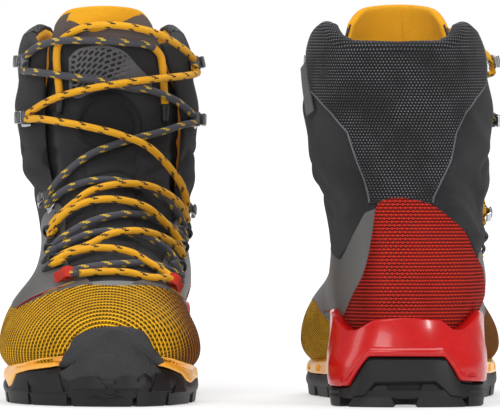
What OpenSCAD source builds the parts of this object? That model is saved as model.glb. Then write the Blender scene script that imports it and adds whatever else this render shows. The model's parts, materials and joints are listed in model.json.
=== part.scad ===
/* [Boot] */
// Length of one boot over the sole, toe tip to heel
boot_length = 300; // [270:1:330]
// Width of the upper across the ball of the foot
ball_width = 106; // [98:1:114]
// Height of the shaft: collar top at the back, above the ground
collar_height = 190; // [180:1:205]
// Centre distance between the two shafts of the pair
pair_spacing = 161; // [140:1:200]
/* [Sole] */
// Height of the tread lugs
lug_height = 4.5; // [3.5:0.5:5]
// Thickness of the rubber plate above the lugs
plate_height = 4; // [3:0.5:4.5]
/* [Upper] */
// Thickness of the outer textile and film panels
panel_wall = 1.1; // [0.8:0.1:1.3]
// Free height of the flexing band between foot and cuff
flex_band = 18; // [16:1:20]
/* [Lacing] */
// Diameter of the round lace
lace_d = 4.2; // [3.5:0.1:4.4]
// Wire diameter of the lace loops and hooks
wire_d = 2; // [1.6:0.1:2.4]

/* [Hidden] */
FOOT = ["outsole_forefoot", "outsole_heel", "toe_cap", "midsole_forefoot", "heel_cradle",
    "midsole_core", "shank", "lasting_board", "footbed", "foot_lining", "heel_stiffener",
    "vamp", "quarter_lateral", "quarter_medial", "heel_counter", "tongue_lower",
    "eyelet_loops", "webbing_loops", "locking_hooks", "lace_lower"];
FLEX = ["ankle_softshell", "tongue_flex", "lace_crossing"];
CUFF = ["collar_lining", "cuff_softshell", "rear_panel", "tongue_upper", "cuff_hooks",
    "lace_upper", "lace_aglets"];
PARTS = [each FOOT, each FLEX, each CUFF];

// Scale of the section tables, which are drawn for a 300 x 106 x 190 mm boot.
kx = ball_width / 106;
ky = boot_length / 300;
kz = collar_height / 190;
gap = 0.3;

// The upper is a row of sections from the toe tip, fanning round the instep and up
// the shaft. Each row: front point y and z, back point y and z, share of the way to
// the widest place, roundness in front and behind, centre x, lateral and medial
// half widths.
SECTIONS = [
    [-146.5, 34, -146.5, 28, 0.60, 1.00, 1.00, 12, 0.6, 0.6],
    [-144.7, 41, -145.0, 24, 0.60, 1.00, 1.00, 11.5, 15, 14.5],
    [-139.5, 46, -140.0, 21, 0.60, 1.00, 1.00, 10, 27.5, 26],
    [-128, 51, -128, 19, 0.62, 1.00, 1.00, 8, 39, 36.5],
    [-108, 55, -108, 16, 0.66, 1.00, 1.00, 6, 47.5, 45],
    [-84, 59, -84, 14, 0.70, 1.00, 1.00, 4, 52.5, 50],
    [-58, 65, -56, 14, 0.70, 1.00, 1.00, 2, 54.5, 52],
    [-34, 75, -26, 16, 0.68, 1.00, 1.00, 1, 53, 48.5],
    [-14, 86, 6, 19, 0.64, 1.00, 1.00, 0.5, 48, 44.5],
    [2, 97, 40, 23, 0.58, 1.00, 0.95, 0, 43, 43],
    [13, 107, 76, 26, 0.54, 0.95, 0.90, 0, 39, 44.5],
    [20, 116, 112, 28, 0.52, 0.92, 0.85, 0, 37.5, 46.5],
    [24, 124, 138, 36, 0.50, 0.90, 0.80, 0, 37.5, 47],
    [27, 131, 147, 56, 0.50, 0.90, 0.80, 0, 38, 47],
    [29, 138, 145, 78, 0.50, 0.88, 0.80, 0, 38, 47],
    [31, 145, 141, 98, 0.50, 0.86, 0.82, 0, 38, 47],
    [32, 153, 139, 116, 0.50, 0.86, 0.84, 0, 38, 47],
    [33, 163, 141, 136, 0.50, 0.86, 0.84, 0, 38, 47],
    [33, 174, 144, 157, 0.50, 0.86, 0.84, 0, 38, 47],
    [33, 186, 147, 176, 0.50, 0.86, 0.84, 0, 38, 47],
    [33, 197, 148, 190, 0.50, 0.86, 0.84, 0, 38, 47],
    [33, 209, 148.5, 205, 0.50, 0.86, 0.84, 0, 38, 47],
    [33, 221, 149, 220, 0.50, 0.86, 0.84, 0, 38, 47]];
// Half widths of ankle and shaft by height: height, lateral, medial.
SHAFT = [[40, 37.5, 47.2], [55, 37, 47], [70, 35.5, 45.2], [85, 35, 43], [100, 37, 43.6],
    [115, 41, 45.6], [130, 46, 47.8], [147, 48.2, 48.6], [162, 48, 48.4], [180, 47.5, 46],
    [190, 46.5, 43.5], [200, 43, 39], [212, 38, 34], [224, 34, 30]];
// Where the shaft widths take over from the section's own, by height and by row.
SHAFT_FROM = [40, 85];
SHAFT_ROWS = [6, 9.5];

// Edge of the sole seen from below: a closed smooth curve, toe tip first, then the
// lateral side, the heel and the medial side.
SOLE_EDGE = [[12, -148], [-6, -143.5], [-22, -131], [-37, -112], [-47, -86], [-50.5, -57],
    [-46, -27], [-38, 5], [-34.5, 40], [-35, 75], [-37, 108], [-34.5, 133], [-20, 147.5],
    [4.5, 151], [29, 147.5], [43.5, 133], [46.5, 108], [44, 75], [43.5, 40], [46, 5],
    [51, -27], [53.5, -57], [51.5, -86], [46, -112], [38.5, -131], [28, -143.5]];
SOLE_N = len(SOLE_EDGE);
FOREFOOT_LATERAL = 7;
HEEL_LATERAL = 8.8;
HEEL_MEDIAL = 17.2;
FOREFOOT_MEDIAL = 19;
CAP_LATERAL = 1.9;
CAP_MEDIAL = -2.2;

// Shift that centres the pair's box on the origin in X.
pair_shift = 0.875 * kx;

// Heights of the body split: foot parts end at cuff_z0, cuff parts start at cuff_z1.
cuff_z0 = 112;
cuff_z1 = cuff_z0 + flex_band;
plate_z = lug_height + plate_height;

// Wall layers as depths below the outer surface.
skin_in = panel_wall - gap;
stiff_out = skin_in + 5 * gap;
stiff_in = stiff_out + 1.2;
lining_out = stiff_in + 5 * gap;
lining_in = lining_out + 3.4;
pad_out = skin_in + 5 * gap;
pad_in = pad_out + 7;

function clamp(v, a = 0, b = 1) = max(a, min(b, v));
function mix(a, b, f) = a + (b - a) * f;
function ease(a, b, v) = let (t = clamp((v - a) / (b - a))) t * t * (3 - 2 * t);
function cubic(p, a, b, c, f) = let (m = (b - p) / 2, n = (c - a) / 2)
    a * (2 * f ^ 3 - 3 * f ^ 2 + 1) + m * (f ^ 3 - 2 * f ^ 2 + f)
    + b * (3 * f ^ 2 - 2 * f ^ 3) + n * (f ^ 3 - f ^ 2);
// Smooth value at place t along a list of rows.
function along(rows, t) = let (n = len(rows) - 1, u = clamp(t, 0, n), i = min(floor(u), n - 1))
    cubic(rows[max(i - 1, 0)], rows[i], rows[i + 1], rows[min(i + 2, n)], u - i);
// Point at share a of a smooth path.
function path_at(path, a) = along(path, a * (len(path) - 1));
// Row of a keyed table at key k, interpolated in a straight line.
function keyed(rows, k) = let (i = max([for (j = [0:len(rows) - 2]) if (rows[j][0] <= k || j == 0) j]),
    f = clamp((k - rows[i][0]) / (rows[i + 1][0] - rows[i][0]))) mix(rows[i], rows[i + 1], f);
// Point on the closed sole edge at place s, moved inwards by inset.
function sole_edge(s, inset = 0) = let (i = floor(s), f = s - i, n = SOLE_N,
    w = function (k) SOLE_EDGE[(k % n + n) % n],
    p = cubic(w(i - 1), w(i), w(i + 1), w(i + 2), f),
    a = cubic(w(i - 1), w(i), w(i + 1), w(i + 2), min(f + 0.05, 1)),
    b = cubic(w(i - 1), w(i), w(i + 1), w(i + 2), max(f - 0.05, 0)),
    d = (a - b) / norm(a - b))
    [kx * p[0] - d[1] * inset * -1, ky * p[1] - d[0] * inset];

// Point of the upper: row u, place q round it (0 front, -1 and 1 back, negative
// lateral), and depth below the outer surface.
function upper(u, q0, depth = 0) = let (
    q = q0 > 1 ? q0 - 2 : q0 < -1 ? q0 + 2 : q0,
    r = along(SECTIONS, u), a = abs(q), m = r[4],
    ang = a <= 0.5 ? 90 * (2 * a) ^ (1 / r[5]) : 180 - 90 * (2 - 2 * a) ^ (1 / r[6]),
    c = cos(ang), t = ang <= 90 ? m * (1 - c) : m - (1 - m) * c,
    span = norm([r[2] - r[0], r[3] - r[1]]),
    cut = min(depth / max(span, 0.1), 0.42),
    t2 = cut + t * (1 - 2 * cut),
    back = depth * (1 - ease(0, 3.5, u)),
    z = r[1] + t2 * (r[3] - r[1]),
    k = ease(SHAFT_FROM[0], SHAFT_FROM[1], z) * ease(SHAFT_ROWS[0], SHAFT_ROWS[1], u),
    h = keyed(SHAFT, z), side = q < 0 ? 1 : 2,
    w = mix(r[7 + side], h[side], k),
    w2 = max(w - depth, w * 0.3))
    [kx * (r[7] + (q < 0 ? -1 : 1) * w2 * abs(sin(ang)) ^ (ang <= 90 ? r[5] : r[6])),
     ky * (r[0] + t2 * (r[2] - r[0]) + back), kz * z];
// Row at which the line q reaches height z, by halving the range lo to hi.
function row_at(q, z, lo = 6, hi = 22, n = 12) = let (m = (lo + hi) / 2)
    n == 0 ? m : upper(m, q)[2] < z ? row_at(q, z, m, hi, n - 1) : row_at(q, z, lo, m, n - 1);

// Closed solid between two grids of points, given as columns of rows.
module slab(outer, inner, ring = false, cap = false) {
    nc = len(outer);
    nr = len(outer[0]);
    span = ring ? nc : nc - 1;
    id = function (i, j, k) k * nc * nr + (i % nc) * nr + j;
    quad = function (a, b, c, d) [[a, b, c], [a, c, d]];
    faces = [
        for (i = [0:span - 1], j = [0:nr - 2]) each
            quad(id(i, j, 0), id(i, j + 1, 0), id(i + 1, j + 1, 0), id(i + 1, j, 0)),
        for (i = [0:span - 1], j = [0:nr - 2]) each
            quad(id(i, j, 1), id(i + 1, j, 1), id(i + 1, j + 1, 1), id(i, j + 1, 1)),
        for (i = [0:span - 1]) each
            quad(id(i, nr - 1, 0), id(i, nr - 1, 1), id(i + 1, nr - 1, 1), id(i + 1, nr - 1, 0)),
        if (!cap) for (i = [0:span - 1]) each
            quad(id(i, 0, 0), id(i + 1, 0, 0), id(i + 1, 0, 1), id(i, 0, 1)),
        if (cap) for (i = [1:nc - 2]) [id(0, 0, 0), id(i, 0, 0), id(i + 1, 0, 0)],
        if (cap) for (i = [1:nc - 2]) [id(0, 0, 1), id(i + 1, 0, 1), id(i, 0, 1)],
        if (!ring) for (j = [0:nr - 2]) each
            quad(id(0, j, 0), id(0, j, 1), id(0, j + 1, 1), id(0, j + 1, 0)),
        if (!ring) for (j = [0:nr - 2]) each
            quad(id(nc - 1, j, 0), id(nc - 1, j + 1, 0), id(nc - 1, j + 1, 1), id(nc - 1, j, 1))];
    polyhedron([for (c = outer) each c, for (c = inner) each c], faces);
}
// Panel of the upper between a lower and an upper edge, both smooth paths of
// [q, row] points, from depth out to depth in.
module panel(low, high, out, in, nc, nr) {
    at = function (i, j) mix(path_at(low, i / nc), path_at(high, i / nc), j / nr);
    grid = function (depth) [for (i = [0:nc]) [for (j = [0:nr])
        let (p = at(i, j)) upper(p[1], p[0], depth)]];
    slab(grid(out), grid(in));
}
// Panel between two heights, whose columns run through the places in qs.
module band(qs, z0, z1, out, in, nr) {
    rows = [for (i = [0:len(qs) - 1]) [row_at(qs[i], z0(i)), row_at(qs[i], z1(i))]];
    grid = function (depth) [for (i = [0:len(qs) - 1]) [for (j = [0:nr])
        upper(mix(rows[i][0], rows[i][1], j / nr), qs[i], depth(i, j / nr))]];
    slab(grid(out), grid(in));
}
// Round tube along a smooth path of points.
module tube(path, d, sides = 8, per = 3) {
    n = (len(path) - 1) * per;
    pts = [for (i = [0:n]) along(path, i / per)];
    dir = [for (i = [0:n]) let (v = pts[min(i + 1, n)] - pts[max(i - 1, 0)]) v / norm(v)];
    side = function (i) let (s = cross(dir[i], [0, 0.35, 0.94])) s / norm(s);
    rings = [for (i = [0:n]) let (s = side(i), t = cross(dir[i], s)) [for (k = [0:sides - 1])
        pts[i] + d / 2 * (s * cos(360 * k / sides) + t * sin(360 * k / sides))]];
    faces = [
        for (i = [0:n - 1], k = [0:sides - 1]) let (m = (k + 1) % sides)
            each [[i * sides + k, (i + 1) * sides + k, (i + 1) * sides + m],
                [i * sides + k, (i + 1) * sides + m, i * sides + m]],
        [for (k = [0:sides - 1]) k],
        [for (k = [0:sides - 1]) n * sides + sides - 1 - k]];
    polyhedron([for (r = rings) each r], faces);
}
// Turns +Z of its children to direction v.
module aim(v) {
    rotate([0, acos(v[2] / norm(v)), atan2(v[1], v[0])])
        children();
}

// ---- Sole ----

// Outline of one half of the sole, from place s0 to s1, closed straight across.
function sole_part(s0, s1, inset = 0, n = 40) = [for (i = [0:n]) sole_edge(mix(s0, s1, i / n), inset)];
// Lug along the edge from place a to b, reaching inwards by depth.
module edge_lug(a, b, depth) {
    linear_extrude(lug_height + 0.5)
        polygon([for (i = [0:4]) sole_edge(mix(a, b, i / 4), 0.8),
            for (i = [4:-1:0]) sole_edge(mix(a, b, i / 4), depth - (i == 2 ? 0 : 2))]);
}
// Row of edge lugs from place s0 to s1, with grooves between them.
module edge_lugs(s0, s1, count, depth) {
    step = (s1 - s0) / count;
    for (k = [0:count - 1])
        edge_lug(s0 + k * step, s0 + (k + 0.8) * step, depth);
}
// Chevron lug pointing to the toe at [x, y].
module chevron(x, y, w, l) {
    translate([x, y])
        linear_extrude(lug_height + 0.5)
            polygon([[0, -l / 2], [w / 2, -l / 6], [w / 2, l / 2], [0, l / 6], [-w / 2, l / 2],
                [-w / 2, -l / 6]]);
}
module outsole_forefoot() {
    color("#262728") {
        translate([0, 0, lug_height])
            linear_extrude(plate_height)
                polygon(sole_part(FOREFOOT_MEDIAL - SOLE_N, FOREFOOT_LATERAL, 0.5));
        edge_lug(-0.75, 1.3, 16);
        edge_lugs(1.5, FOREFOOT_LATERAL, 6, 17);
        edge_lugs(FOREFOOT_MEDIAL - SOLE_N + 0.15, -0.8, 6, 17);
        for (y = [-112, -92, -72, -52, -32])
            chevron(3 * kx, y * ky, 24, 15);
    }
}
module outsole_heel() {
    color("#262728") {
        translate([0, 0, lug_height])
            linear_extrude(plate_height)
                polygon(sole_part(HEEL_LATERAL, HEEL_MEDIAL, 0.5));
        edge_lugs(HEEL_LATERAL + 0.1, 12.6, 3, 18);
        edge_lugs(13.4, HEEL_MEDIAL - 0.1, 3, 18);
        for (y = [88, 108])
            chevron(4 * kx, y * ky, 22, 15);
    }
}
// Height of the midsole's top lip by row, highest at the toe and heel.
LIP = [[0, 25], [2, 25], [3, 23.5], [4, 20.5], [5, 18.5], [6, 18], [7, 19], [8, 21.5], [9, 24], [10.2, 26], [11, 25], [12.5, 24]];
// Closed loft of the midsole between rows u0 and u1: flat below, dished above where
// the upper sits, with a lip of the given thickness all round.
module dished(u0, u1, z0, inset, nr) {
    edge = function (u, side) sole_x(upper(u, 1)[1], side);
    tuck = function (u) mix(3.6, inset, ease(3.05, 3.5, u));
    ring = function (u) let (low = upper(u, 1), lip = kz * keyed(LIP, u)[1],
        l = edge(u, -1) + tuck(u), r = edge(u, 1) - tuck(u),
        floor_q = [0.86, 0.93, 1, -0.93, -0.86]) [
            [l, low[1], z0], [r, low[1], z0], [r, low[1], lip - 1], [r - 2.5, low[1], lip - 0.5],
            for (q = floor_q) let (p = upper(u, q, -gap))
                [clamp(p[0], l + 5, r - 5), low[1], max(p[2] - gap, z0 + 1)],
            [l + 2.5, low[1], lip - 0.5], [l, low[1], lip - 1]];
    rings = [for (i = [0:nr]) ring(mix(u0, u1, i / nr))];
    loft(rings);
}
// Closed loft through rings of points with equal counts.
module loft(rings) {
    n = len(rings[0]);
    m = len(rings);
    faces = [
        for (i = [0:m - 2], k = [0:n - 1]) let (j = (k + 1) % n)
            each [[i * n + k, i * n + j, (i + 1) * n + j], [i * n + k, (i + 1) * n + j, (i + 1) * n + k]],
        [for (k = [0:n - 1]) n - 1 - k],
        [for (k = [0:n - 1]) (m - 1) * n + k]];
    polyhedron([for (r = rings) each r], faces);
}
// Sole half width on one side at length y: the sole edge's own x there.
function sole_x(y, side) = let (
    lo = side < 0 ? 0 : 13, hi = side < 0 ? 13 : 26,
    s = edge_at(y, lo, hi, side)) sole_edge(s)[0];
function edge_at(y, lo, hi, side, n = 14) = let (m = (lo + hi) / 2, v = sole_edge(m)[1])
    n == 0 ? m : (side < 0 ? v < y : v > y) ? edge_at(y, m, hi, side, n - 1)
    : edge_at(y, lo, m, side, n - 1);
module midsole_forefoot() {
    color("#f08c1e")
        dished(2.6, 8, plate_z + gap, 0.6, 9);
}
module midsole_core() {
    color("#3a3a3c")
        dished(8.1, 12.1, plate_z + gap, 5.6, 9);
}

module toe_cap() {
    n = 18;
    top = [[-0.7, 2.5], [-0.52, 1.75], [-0.3, 1.4], [0, 1.3], [0.25, 1.55], [0.5, 1.9], [0.68, 2.6]];
    low = [[-0.76, 2.3], [-0.62, 1.1], [-0.4, 0.6], [0, 0.5], [0.4, 0.6], [0.62, 1.1], [0.74, 2.3]];
    column = function (a, out) let (t = path_at(top, a), l = path_at(low, a),
        e = sole_edge(mix(CAP_LATERAL, CAP_MEDIAL, a), out ? 0.6 : 2.6), d = out ? -1.8 : -gap,
        p = upper(l[1], l[0], d))
        [[e[0], e[1], plate_z + gap], [mix(e[0], p[0], 0.15), mix(e[1], p[1], 0.15), plate_z + 8],
            for (j = [0:3]) upper(mix(l[1], t[1], j / 3), mix(l[0], t[0], j / 3), d)];
    color("#303133")
        slab([for (i = [0:n]) column(i / n, true)], [for (i = [0:n]) column(i / n, false)]);
}
module heel_cradle() {
    n = 20;
    crest = [[0.6, 45], [0.66, 43.5], [0.74, 39], [0.8, 40], [0.86, 45.5], [0.93, 46], [1, 46],
        [1.07, 46], [1.14, 45.5], [1.2, 40], [1.26, 39], [1.34, 43.5], [1.42, 45]];
    column = function (a, out) let (c = path_at(crest, a), q = c[0], z = c[1] * kz,
        e = sole_edge(mix(HEEL_MEDIAL - 0.6, HEEL_LATERAL + 0.2, a), out ? 0.2 : 4.2),
        d = out ? -3.1 : -1.3, leg = abs(a - 0.5) > 0.3 ? plate_z + 3 : 24,
        qm = mix(q, 1, 0.08), m = upper(row_at(qm, z - 6), qm, d))
        [[e[0], e[1], leg], [e[0], e[1], 27], [mix(e[0], m[0], 0.35), mix(e[1], m[1], 0.35), 31], m,
            upper(row_at(q, z), q, d)];
    color("#d3232a")
        slab([for (i = [0:n]) column(i / n, true)], [for (i = [0:n]) column(i / n, false)]);
}
module shank() {
    color("#8f9296")
        translate([3 * kx, 54 * ky, plate_z + 4])
            linear_extrude(1.5)
                polygon([for (a = [0:15:345]) [kx * 11 * cos(a), ky * 40 * sin(a)]]);
}
module lasting_board() {
    color("#c9b48a")
        under_foot(lining_in + 1, lining_in + 2.6);
}
module footbed() {
    color("#4a4d52")
        under_foot(lining_in + 3.1, lining_in + 6);
}
// Sheet lying on the lining's floor between two depths.
module under_foot(out, in) {
    rows = [2.2, 3, 4, 5, 6, 7.2, 8.4, 9.6, 10.6, 11.2];
    qs = [for (i = [0:8]) mix(0.82, 1.18, i / 8)];
    grid = function (depth) [for (q = qs) [for (u = rows) upper(u, q, depth)]];
    slab(grid(out), grid(in));
}

// ---- Foot ----

// Edges of the throat, where the lacing opens: row, lateral place, medial place.
THROAT = [[5.7, 0, 0.12], [7, -0.09, 0.22], [8.5, -0.17, 0.28], [10, -0.2, 0.31],
    [12, -0.21, 0.33], [16, -0.24, 0.33], [22, -0.27, 0.34]];
function throat(u, side) = keyed(THROAT, u)[side < 0 ? 1 : 2];
tongue_lap = 0.05;
// How far a place lies inside the tongue's zone: 1 in it, 0 outside.
function in_throat(u, q) = let (a = throat(u, -1) - 0.05, b = throat(u, 1) + 0.05)
    u < 5.2 ? 0 : ease(a - 0.05, a, q) * (1 - ease(b, b + 0.05, q)) * ease(5.2, 6, u);
tongue_out = skin_in + gap;
tongue_wall = 2.6;

RING = [-1, -0.9, -0.8, -0.7, -0.6, -0.5, -0.4, -0.32, -0.22, -0.12, 0, 0.12, 0.24, 0.34, 0.42,
    0.5, 0.6, 0.7, 0.8, 0.9];
module foot_lining() {
    rows = 24;
    grid = function (in) [for (q = RING) let (top = row_at(q, cuff_z0)) [for (j = [0:rows])
        let (u = mix(0.5, top, (j / rows) ^ 1.25)) upper(u, q,
            (in ? lining_in : lining_out) + (in ? 1.6 : 2.2) * in_throat(u, q))]];
    color("#2d2f33")
        slab(grid(false), grid(true), ring = true, cap = true);
}
module heel_stiffener() {
    color("#b9b09a")
        panel([[0.62, 10], [0.74, 11], [0.86, 12], [1, 12.3], [1.14, 12], [1.26, 11], [1.36, 10]],
            [[0.66, 13], [0.8, 13.9], [0.9, 14.6], [1, 14.8], [1.1, 14.6], [1.2, 13.9], [1.34, 13]],
            stiff_out, stiff_in, 12, 4);
}
module vamp() {
    low = [[-0.74, 3.1], [-0.5, 1.95], [-0.3, 1.6], [0, 1.5], [0.25, 1.75], [0.5, 2.1], [0.74, 3.2]];
    high = [[-0.66, 8.6], [-0.46, 6.6], [-0.3, 5.7], [-0.1, 5.4], [0.07, 5.7], [0.2, 6.1], [0.36, 6.8],
        [0.52, 7.6], [0.66, 8.8]];
    color("#d9a51f")
        panel(low, high, -gap, skin_in, 18, 8);
}
module quarter_lateral() {
    low = [[-0.59, 9.9], [-0.58, 8.8], [-0.46, 6.9], [-0.3, 5.95], [-0.1, 5.6], [-0.02, 5.75]];
    high = [[-0.87, 15.3], [-0.66, 13.2], [-0.4, 11.9], [-0.21, 10.6], [-0.18, 8.6], [-0.09, 6.9]];
    color("#55534f")
        panel(low, high, -gap, skin_in, 18, 6);
}
module quarter_medial() {
    low = [[0.12, 6], [0.2, 6.35], [0.36, 7.05], [0.45, 7.6], [0.495, 8.4], [0.51, 9.4], [0.52, 10.6]];
    high = [[0.22, 7.1], [0.29, 8.7], [0.33, 10.6], [0.36, 11.7], [0.42, 12.3], [0.48, 12.4], [0.535, 12.4]];
    color("#55534f")
        panel(low, high, -gap, skin_in, 18, 6);
}
module heel_counter() {
    low = [for (q = [0.53, 0.61, 0.7, 0.8, 0.9, 1, 1.1, 1.2, 1.28, 1.35])
        [q, row_at(q, (38 + 10 * ease(0.28, 0.4, abs(q - 1))) * kz)]];
    high = [[0.56, 12.4], [0.69, 14.2], [0.81, 15.1], [0.9, 15.6], [1, 15.7], [1.09, 15.5], [1.13, 14.6],
        [1.17, 13.6], [1.235, 12.7], [1.335, 10.9]];
    color("#c9402f")
        panel(low, high, -gap, skin_in, 20, 7);
}
module tongue_piece(z0, z1, nr) {
    qs = [for (i = [0:8]) i / 8];
    at = function (a, f) let (u = mix(row_at(0.07, z0, 5), row_at(0.07, z1, 5), f))
        [mix(throat(u, -1) - tongue_lap, throat(u, 1) + tongue_lap, a), u];
    grid = function (depth) [for (a = qs) [for (j = [0:nr]) let (p = at(a, j / nr))
        upper(p[1], p[0], depth)]];
    slab(grid(tongue_out), grid(tongue_out + tongue_wall));
}
module tongue_lower() {
    color("#2b2c2e")
        tongue_piece(64, cuff_z0 - 0.6, 10);
}
module tongue_flex() {
    color("#2b2c2e")
        tongue_piece(cuff_z0 + 0.1, cuff_z1 - 0.1, 3);
}
module tongue_upper() {
    foot_q = [-0.3, 0.4];
    top_q = [-0.17, 0.2];
    grid = function (in) [for (i = [0:12]) [for (j = [0:9])
        let (a = i / 12, f = j / 9, z = mix(cuff_z1 + 0.8, (213 - 6 * abs(2 * a - 1) ^ 3) * kz, f),
            e = ease(0.45, 0.8, f), q = mix(mix(foot_q[0], top_q[0], e), mix(foot_q[1], top_q[1], e), a),
            rise = 1.5 * e, tuck = 4.4 * ease(0.64, 0.86, abs(2 * a - 1)) * (1 - e))
        upper(row_at(q, z), q, tongue_out - rise + tuck + (in ? tongue_wall + 2.4 * ease(0.1, 0.4, f) : 0))]];
    color("#5a544d")
        slab(grid(false), grid(true));
}

// ---- Ankle and cuff ----

// Places round the shaft from the medial throat edge, by way of the back, to the
// lateral one.
MEDIAL_EDGE = 0.34;
LATERAL_EDGE = 1.75;
WRAP = [for (i = [0:22]) mix(MEDIAL_EDGE, LATERAL_EDGE, i / 22)];
// Share of the full padding at column i: thin at the front edges, over the tongue.
function padding(i) = ease(0.5, 3, min(i, 22 - i));
// Height of the collar's top edge at place q: highest beside the heel tendon.
COLLAR_TOP = [[0.25, 191], [0.35, 193], [0.5, 199], [0.6, 202.5], [0.68, 200], [0.78, 194], [0.9, 190.5],
    [1, 190]];
function collar_top(q) = kz * keyed(COLLAR_TOP, q > 1 ? 2 - q : q)[1];
module ankle_softshell() {
    color("#2f3033") {
        band(WRAP, function (i) cuff_z0 + gap, function (i) cuff_z1 - gap,
            function (i, f) -gap, function (i, f) mix(skin_in, lining_in, padding(i)), 2);
        // The two points of softshell that run down between quarter and heel counter.
        softshell_point([[0.41, 12.6], [0.48, 12.9], [0.54, 13], [0.62, 13.8], [0.69, 14.6]]);
        softshell_point([[-0.84, 15.25], [-0.76, 14.4], [-0.67, 13.4], [-0.54, 12.8], [-0.41, 12.2]]);
    }
}
module softshell_point(low) {
    panel(low, [for (p = low) [p[0], row_at(p[0], cuff_z0 - 2 * gap)]], -gap, skin_in, 8, 2);
}
module collar_lining() {
    color("#d8a01e")
        band(WRAP, function (i) cuff_z1 + gap, function (i) collar_top(WRAP[i]),
            function (i, f) pad_out, function (i, f) mix(pad_out + 1.2, pad_in, padding(i)), 8);
}
// Front edges of the rear panel by height: it widens upwards to the collar corners.
PANEL_EDGE = [[130, 0.80, 0.84], [145, 0.78, 0.81], [155, 0.74, 0.74], [163, 0.68, 0.66], [170, 0.6, 0.56],
    [185, 0.53, 0.5], [210, 0.5, 0.48]];
function panel_edge(z, side) = keyed(PANEL_EDGE, z)[side < 0 ? 2 : 1];
// Outer skin of the cuff between two places that may change with height.
module cuff_skin(from, to, nc, nr) {
    at = function (i, j) let (q0 = mix(from(150), to(150), i / nc),
        z = mix(cuff_z1 + gap, collar_top(abs(q0)) - 0.5, j / nr), q = mix(from(z), to(z), i / nc))
        [q, row_at(q, z)];
    grid = function (depth) [for (i = [0:nc]) [for (j = [0:nr]) let (p = at(i, j))
        upper(p[1], p[0], depth)]];
    slab(grid(-gap), grid(skin_in));
}
module cuff_softshell() {
    color("#2f3033") {
        cuff_skin(function (z) MEDIAL_EDGE, function (z) panel_edge(z, 1) - 0.01, 6, 9);
        cuff_skin(function (z) 0.01 - panel_edge(z, -1), function (z) -(2 - LATERAL_EDGE), 6, 9);
    }
}
module rear_panel() {
    color("#26282b")
        cuff_skin(function (z) panel_edge(z, 1), function (z) 2 - panel_edge(z, -1), 12, 9);
}

// ---- Lacing ----

// Lace holders, bottom pair first: webbing loop, three eyelet loops, locking hook,
// upper hook and top hook. Each is place, row and half the lace's spread in rows.
LATERAL = [[-0.08, 6.1, 0.13], [-0.13, 7.1, 0.16], [-0.19, 8.05, 0.18], [-0.23, 9.3, 0.22],
    [-0.245, 11.2, 0.3], [-0.31, 16.5, 0.28], [-0.33, 18.9, 0.25]];
MEDIAL = [[0.24, 6.9, 0.13], [0.3, 8.3, 0.16], [0.33, 9.6, 0.18], [0.36, 10.9, 0.24],
    [0.37, 12.3, 0.3], [0.38, 16.7, 0.28], [0.42, 18.95, 0.25]];
lace_r = lace_d / 2;
hold = lace_r + wire_d + gap + 0.4;
under = lace_r + gap + 0.2;
over = under + lace_d + gap;
function holder(k, side) = side < 0 ? LATERAL[k] : MEDIAL[k];
function outward(side) = side < 0 ? -0.02 : 0.02;
// Centre of the lace where it turns in holder k.
function apex(k, side) = let (h = holder(k, side)) upper(h[1], h[0] + outward(side), -hold);
// Turn through holder k: in below, round and out above.
function turn(k, side) = let (h = holder(k, side), q = h[0] - outward(side) * 0.6)
    [upper(h[1] - h[2], q, -hold), apex(k, side), upper(h[1] + h[2], q, -hold)];
// Shares along a run at which its points lie.
RUN = [0.06, 0.22, 0.41, 0.59, 0.78, 0.94];
// One run over the tongue, from above holder k on one side to below holder m on the
// other, lifted to height lift in the middle.
function run(k, m, side, lift, shoulder = undef) = let (a = holder(k, side), b = holder(m, -side),
    p = [a[0] - outward(side) * 3, a[1] + a[2]], r = [b[0] + outward(side) * 3, b[1] - b[2]],
    third = is_undef(shoulder) ? mix(hold, lift, 0.8) : shoulder,
    heights = [hold, third, lift, lift, third, hold])
    [for (i = [0:5]) let (c = mix(p, r, RUN[i])) upper(c[1], c[0], -heights[i])];
// Half of the lower lace that starts at the webbing loop on one side.
function lower_half(side, lift) = [
    each turn(0, side), each run(0, 1, side, lift),
    each turn(1, -side), each run(1, 2, -side, lift),
    each turn(2, side), each run(2, 3, side, lift),
    each turn(3, -side), each run(3, 4, -side, lift),
    let (h = holder(4, side)) upper(h[1] - h[2], h[0] - outward(side), -hold), apex(4, side)];
function reversed(list) = [for (i = [len(list) - 1:-1:0]) list[i]];
module lace_lower() {
    color("#e3a81f")
        tube([each reversed(lower_half(1, over)),
            for (q = [0.16, 0.08, 0]) upper(mix(6.1, 6.5, (q + 0.08) / 0.3), q, -under),
            each lower_half(-1, under)], lace_d, 8, 1);
}
module lace_crossing() {
    long_run = function (side, lift) let (a = holder(4, side), b = holder(5, -side))
        [for (f = [0.1, 0.3, 0.45, 0.6, 0.75, 0.9]) upper(mix(a[1], b[1], f),
            mix(a[0], b[0], f), -mix(hold, lift, sin(180 * f) ^ 0.5))];
    color("#e3a81f") {
        tube(long_run(1, over), lace_d, 8, 1);
        tube(long_run(-1, under), lace_d, 8, 1);
    }
}
// Upper half of the lace from upper hook 5 on one side to its tail on that side.
function upper_half(side, lift, tail) = let (h = holder(5, side)) [
    upper(h[1] - h[2] * 0.5, h[0] + outward(side) * 0.6, -hold), apex(5, side),
    each run(5, 6, side, lift, over_tail),
    each turn(6, -side),
    for (c = tail) upper(c[1], c[0], -c[2])];
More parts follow.
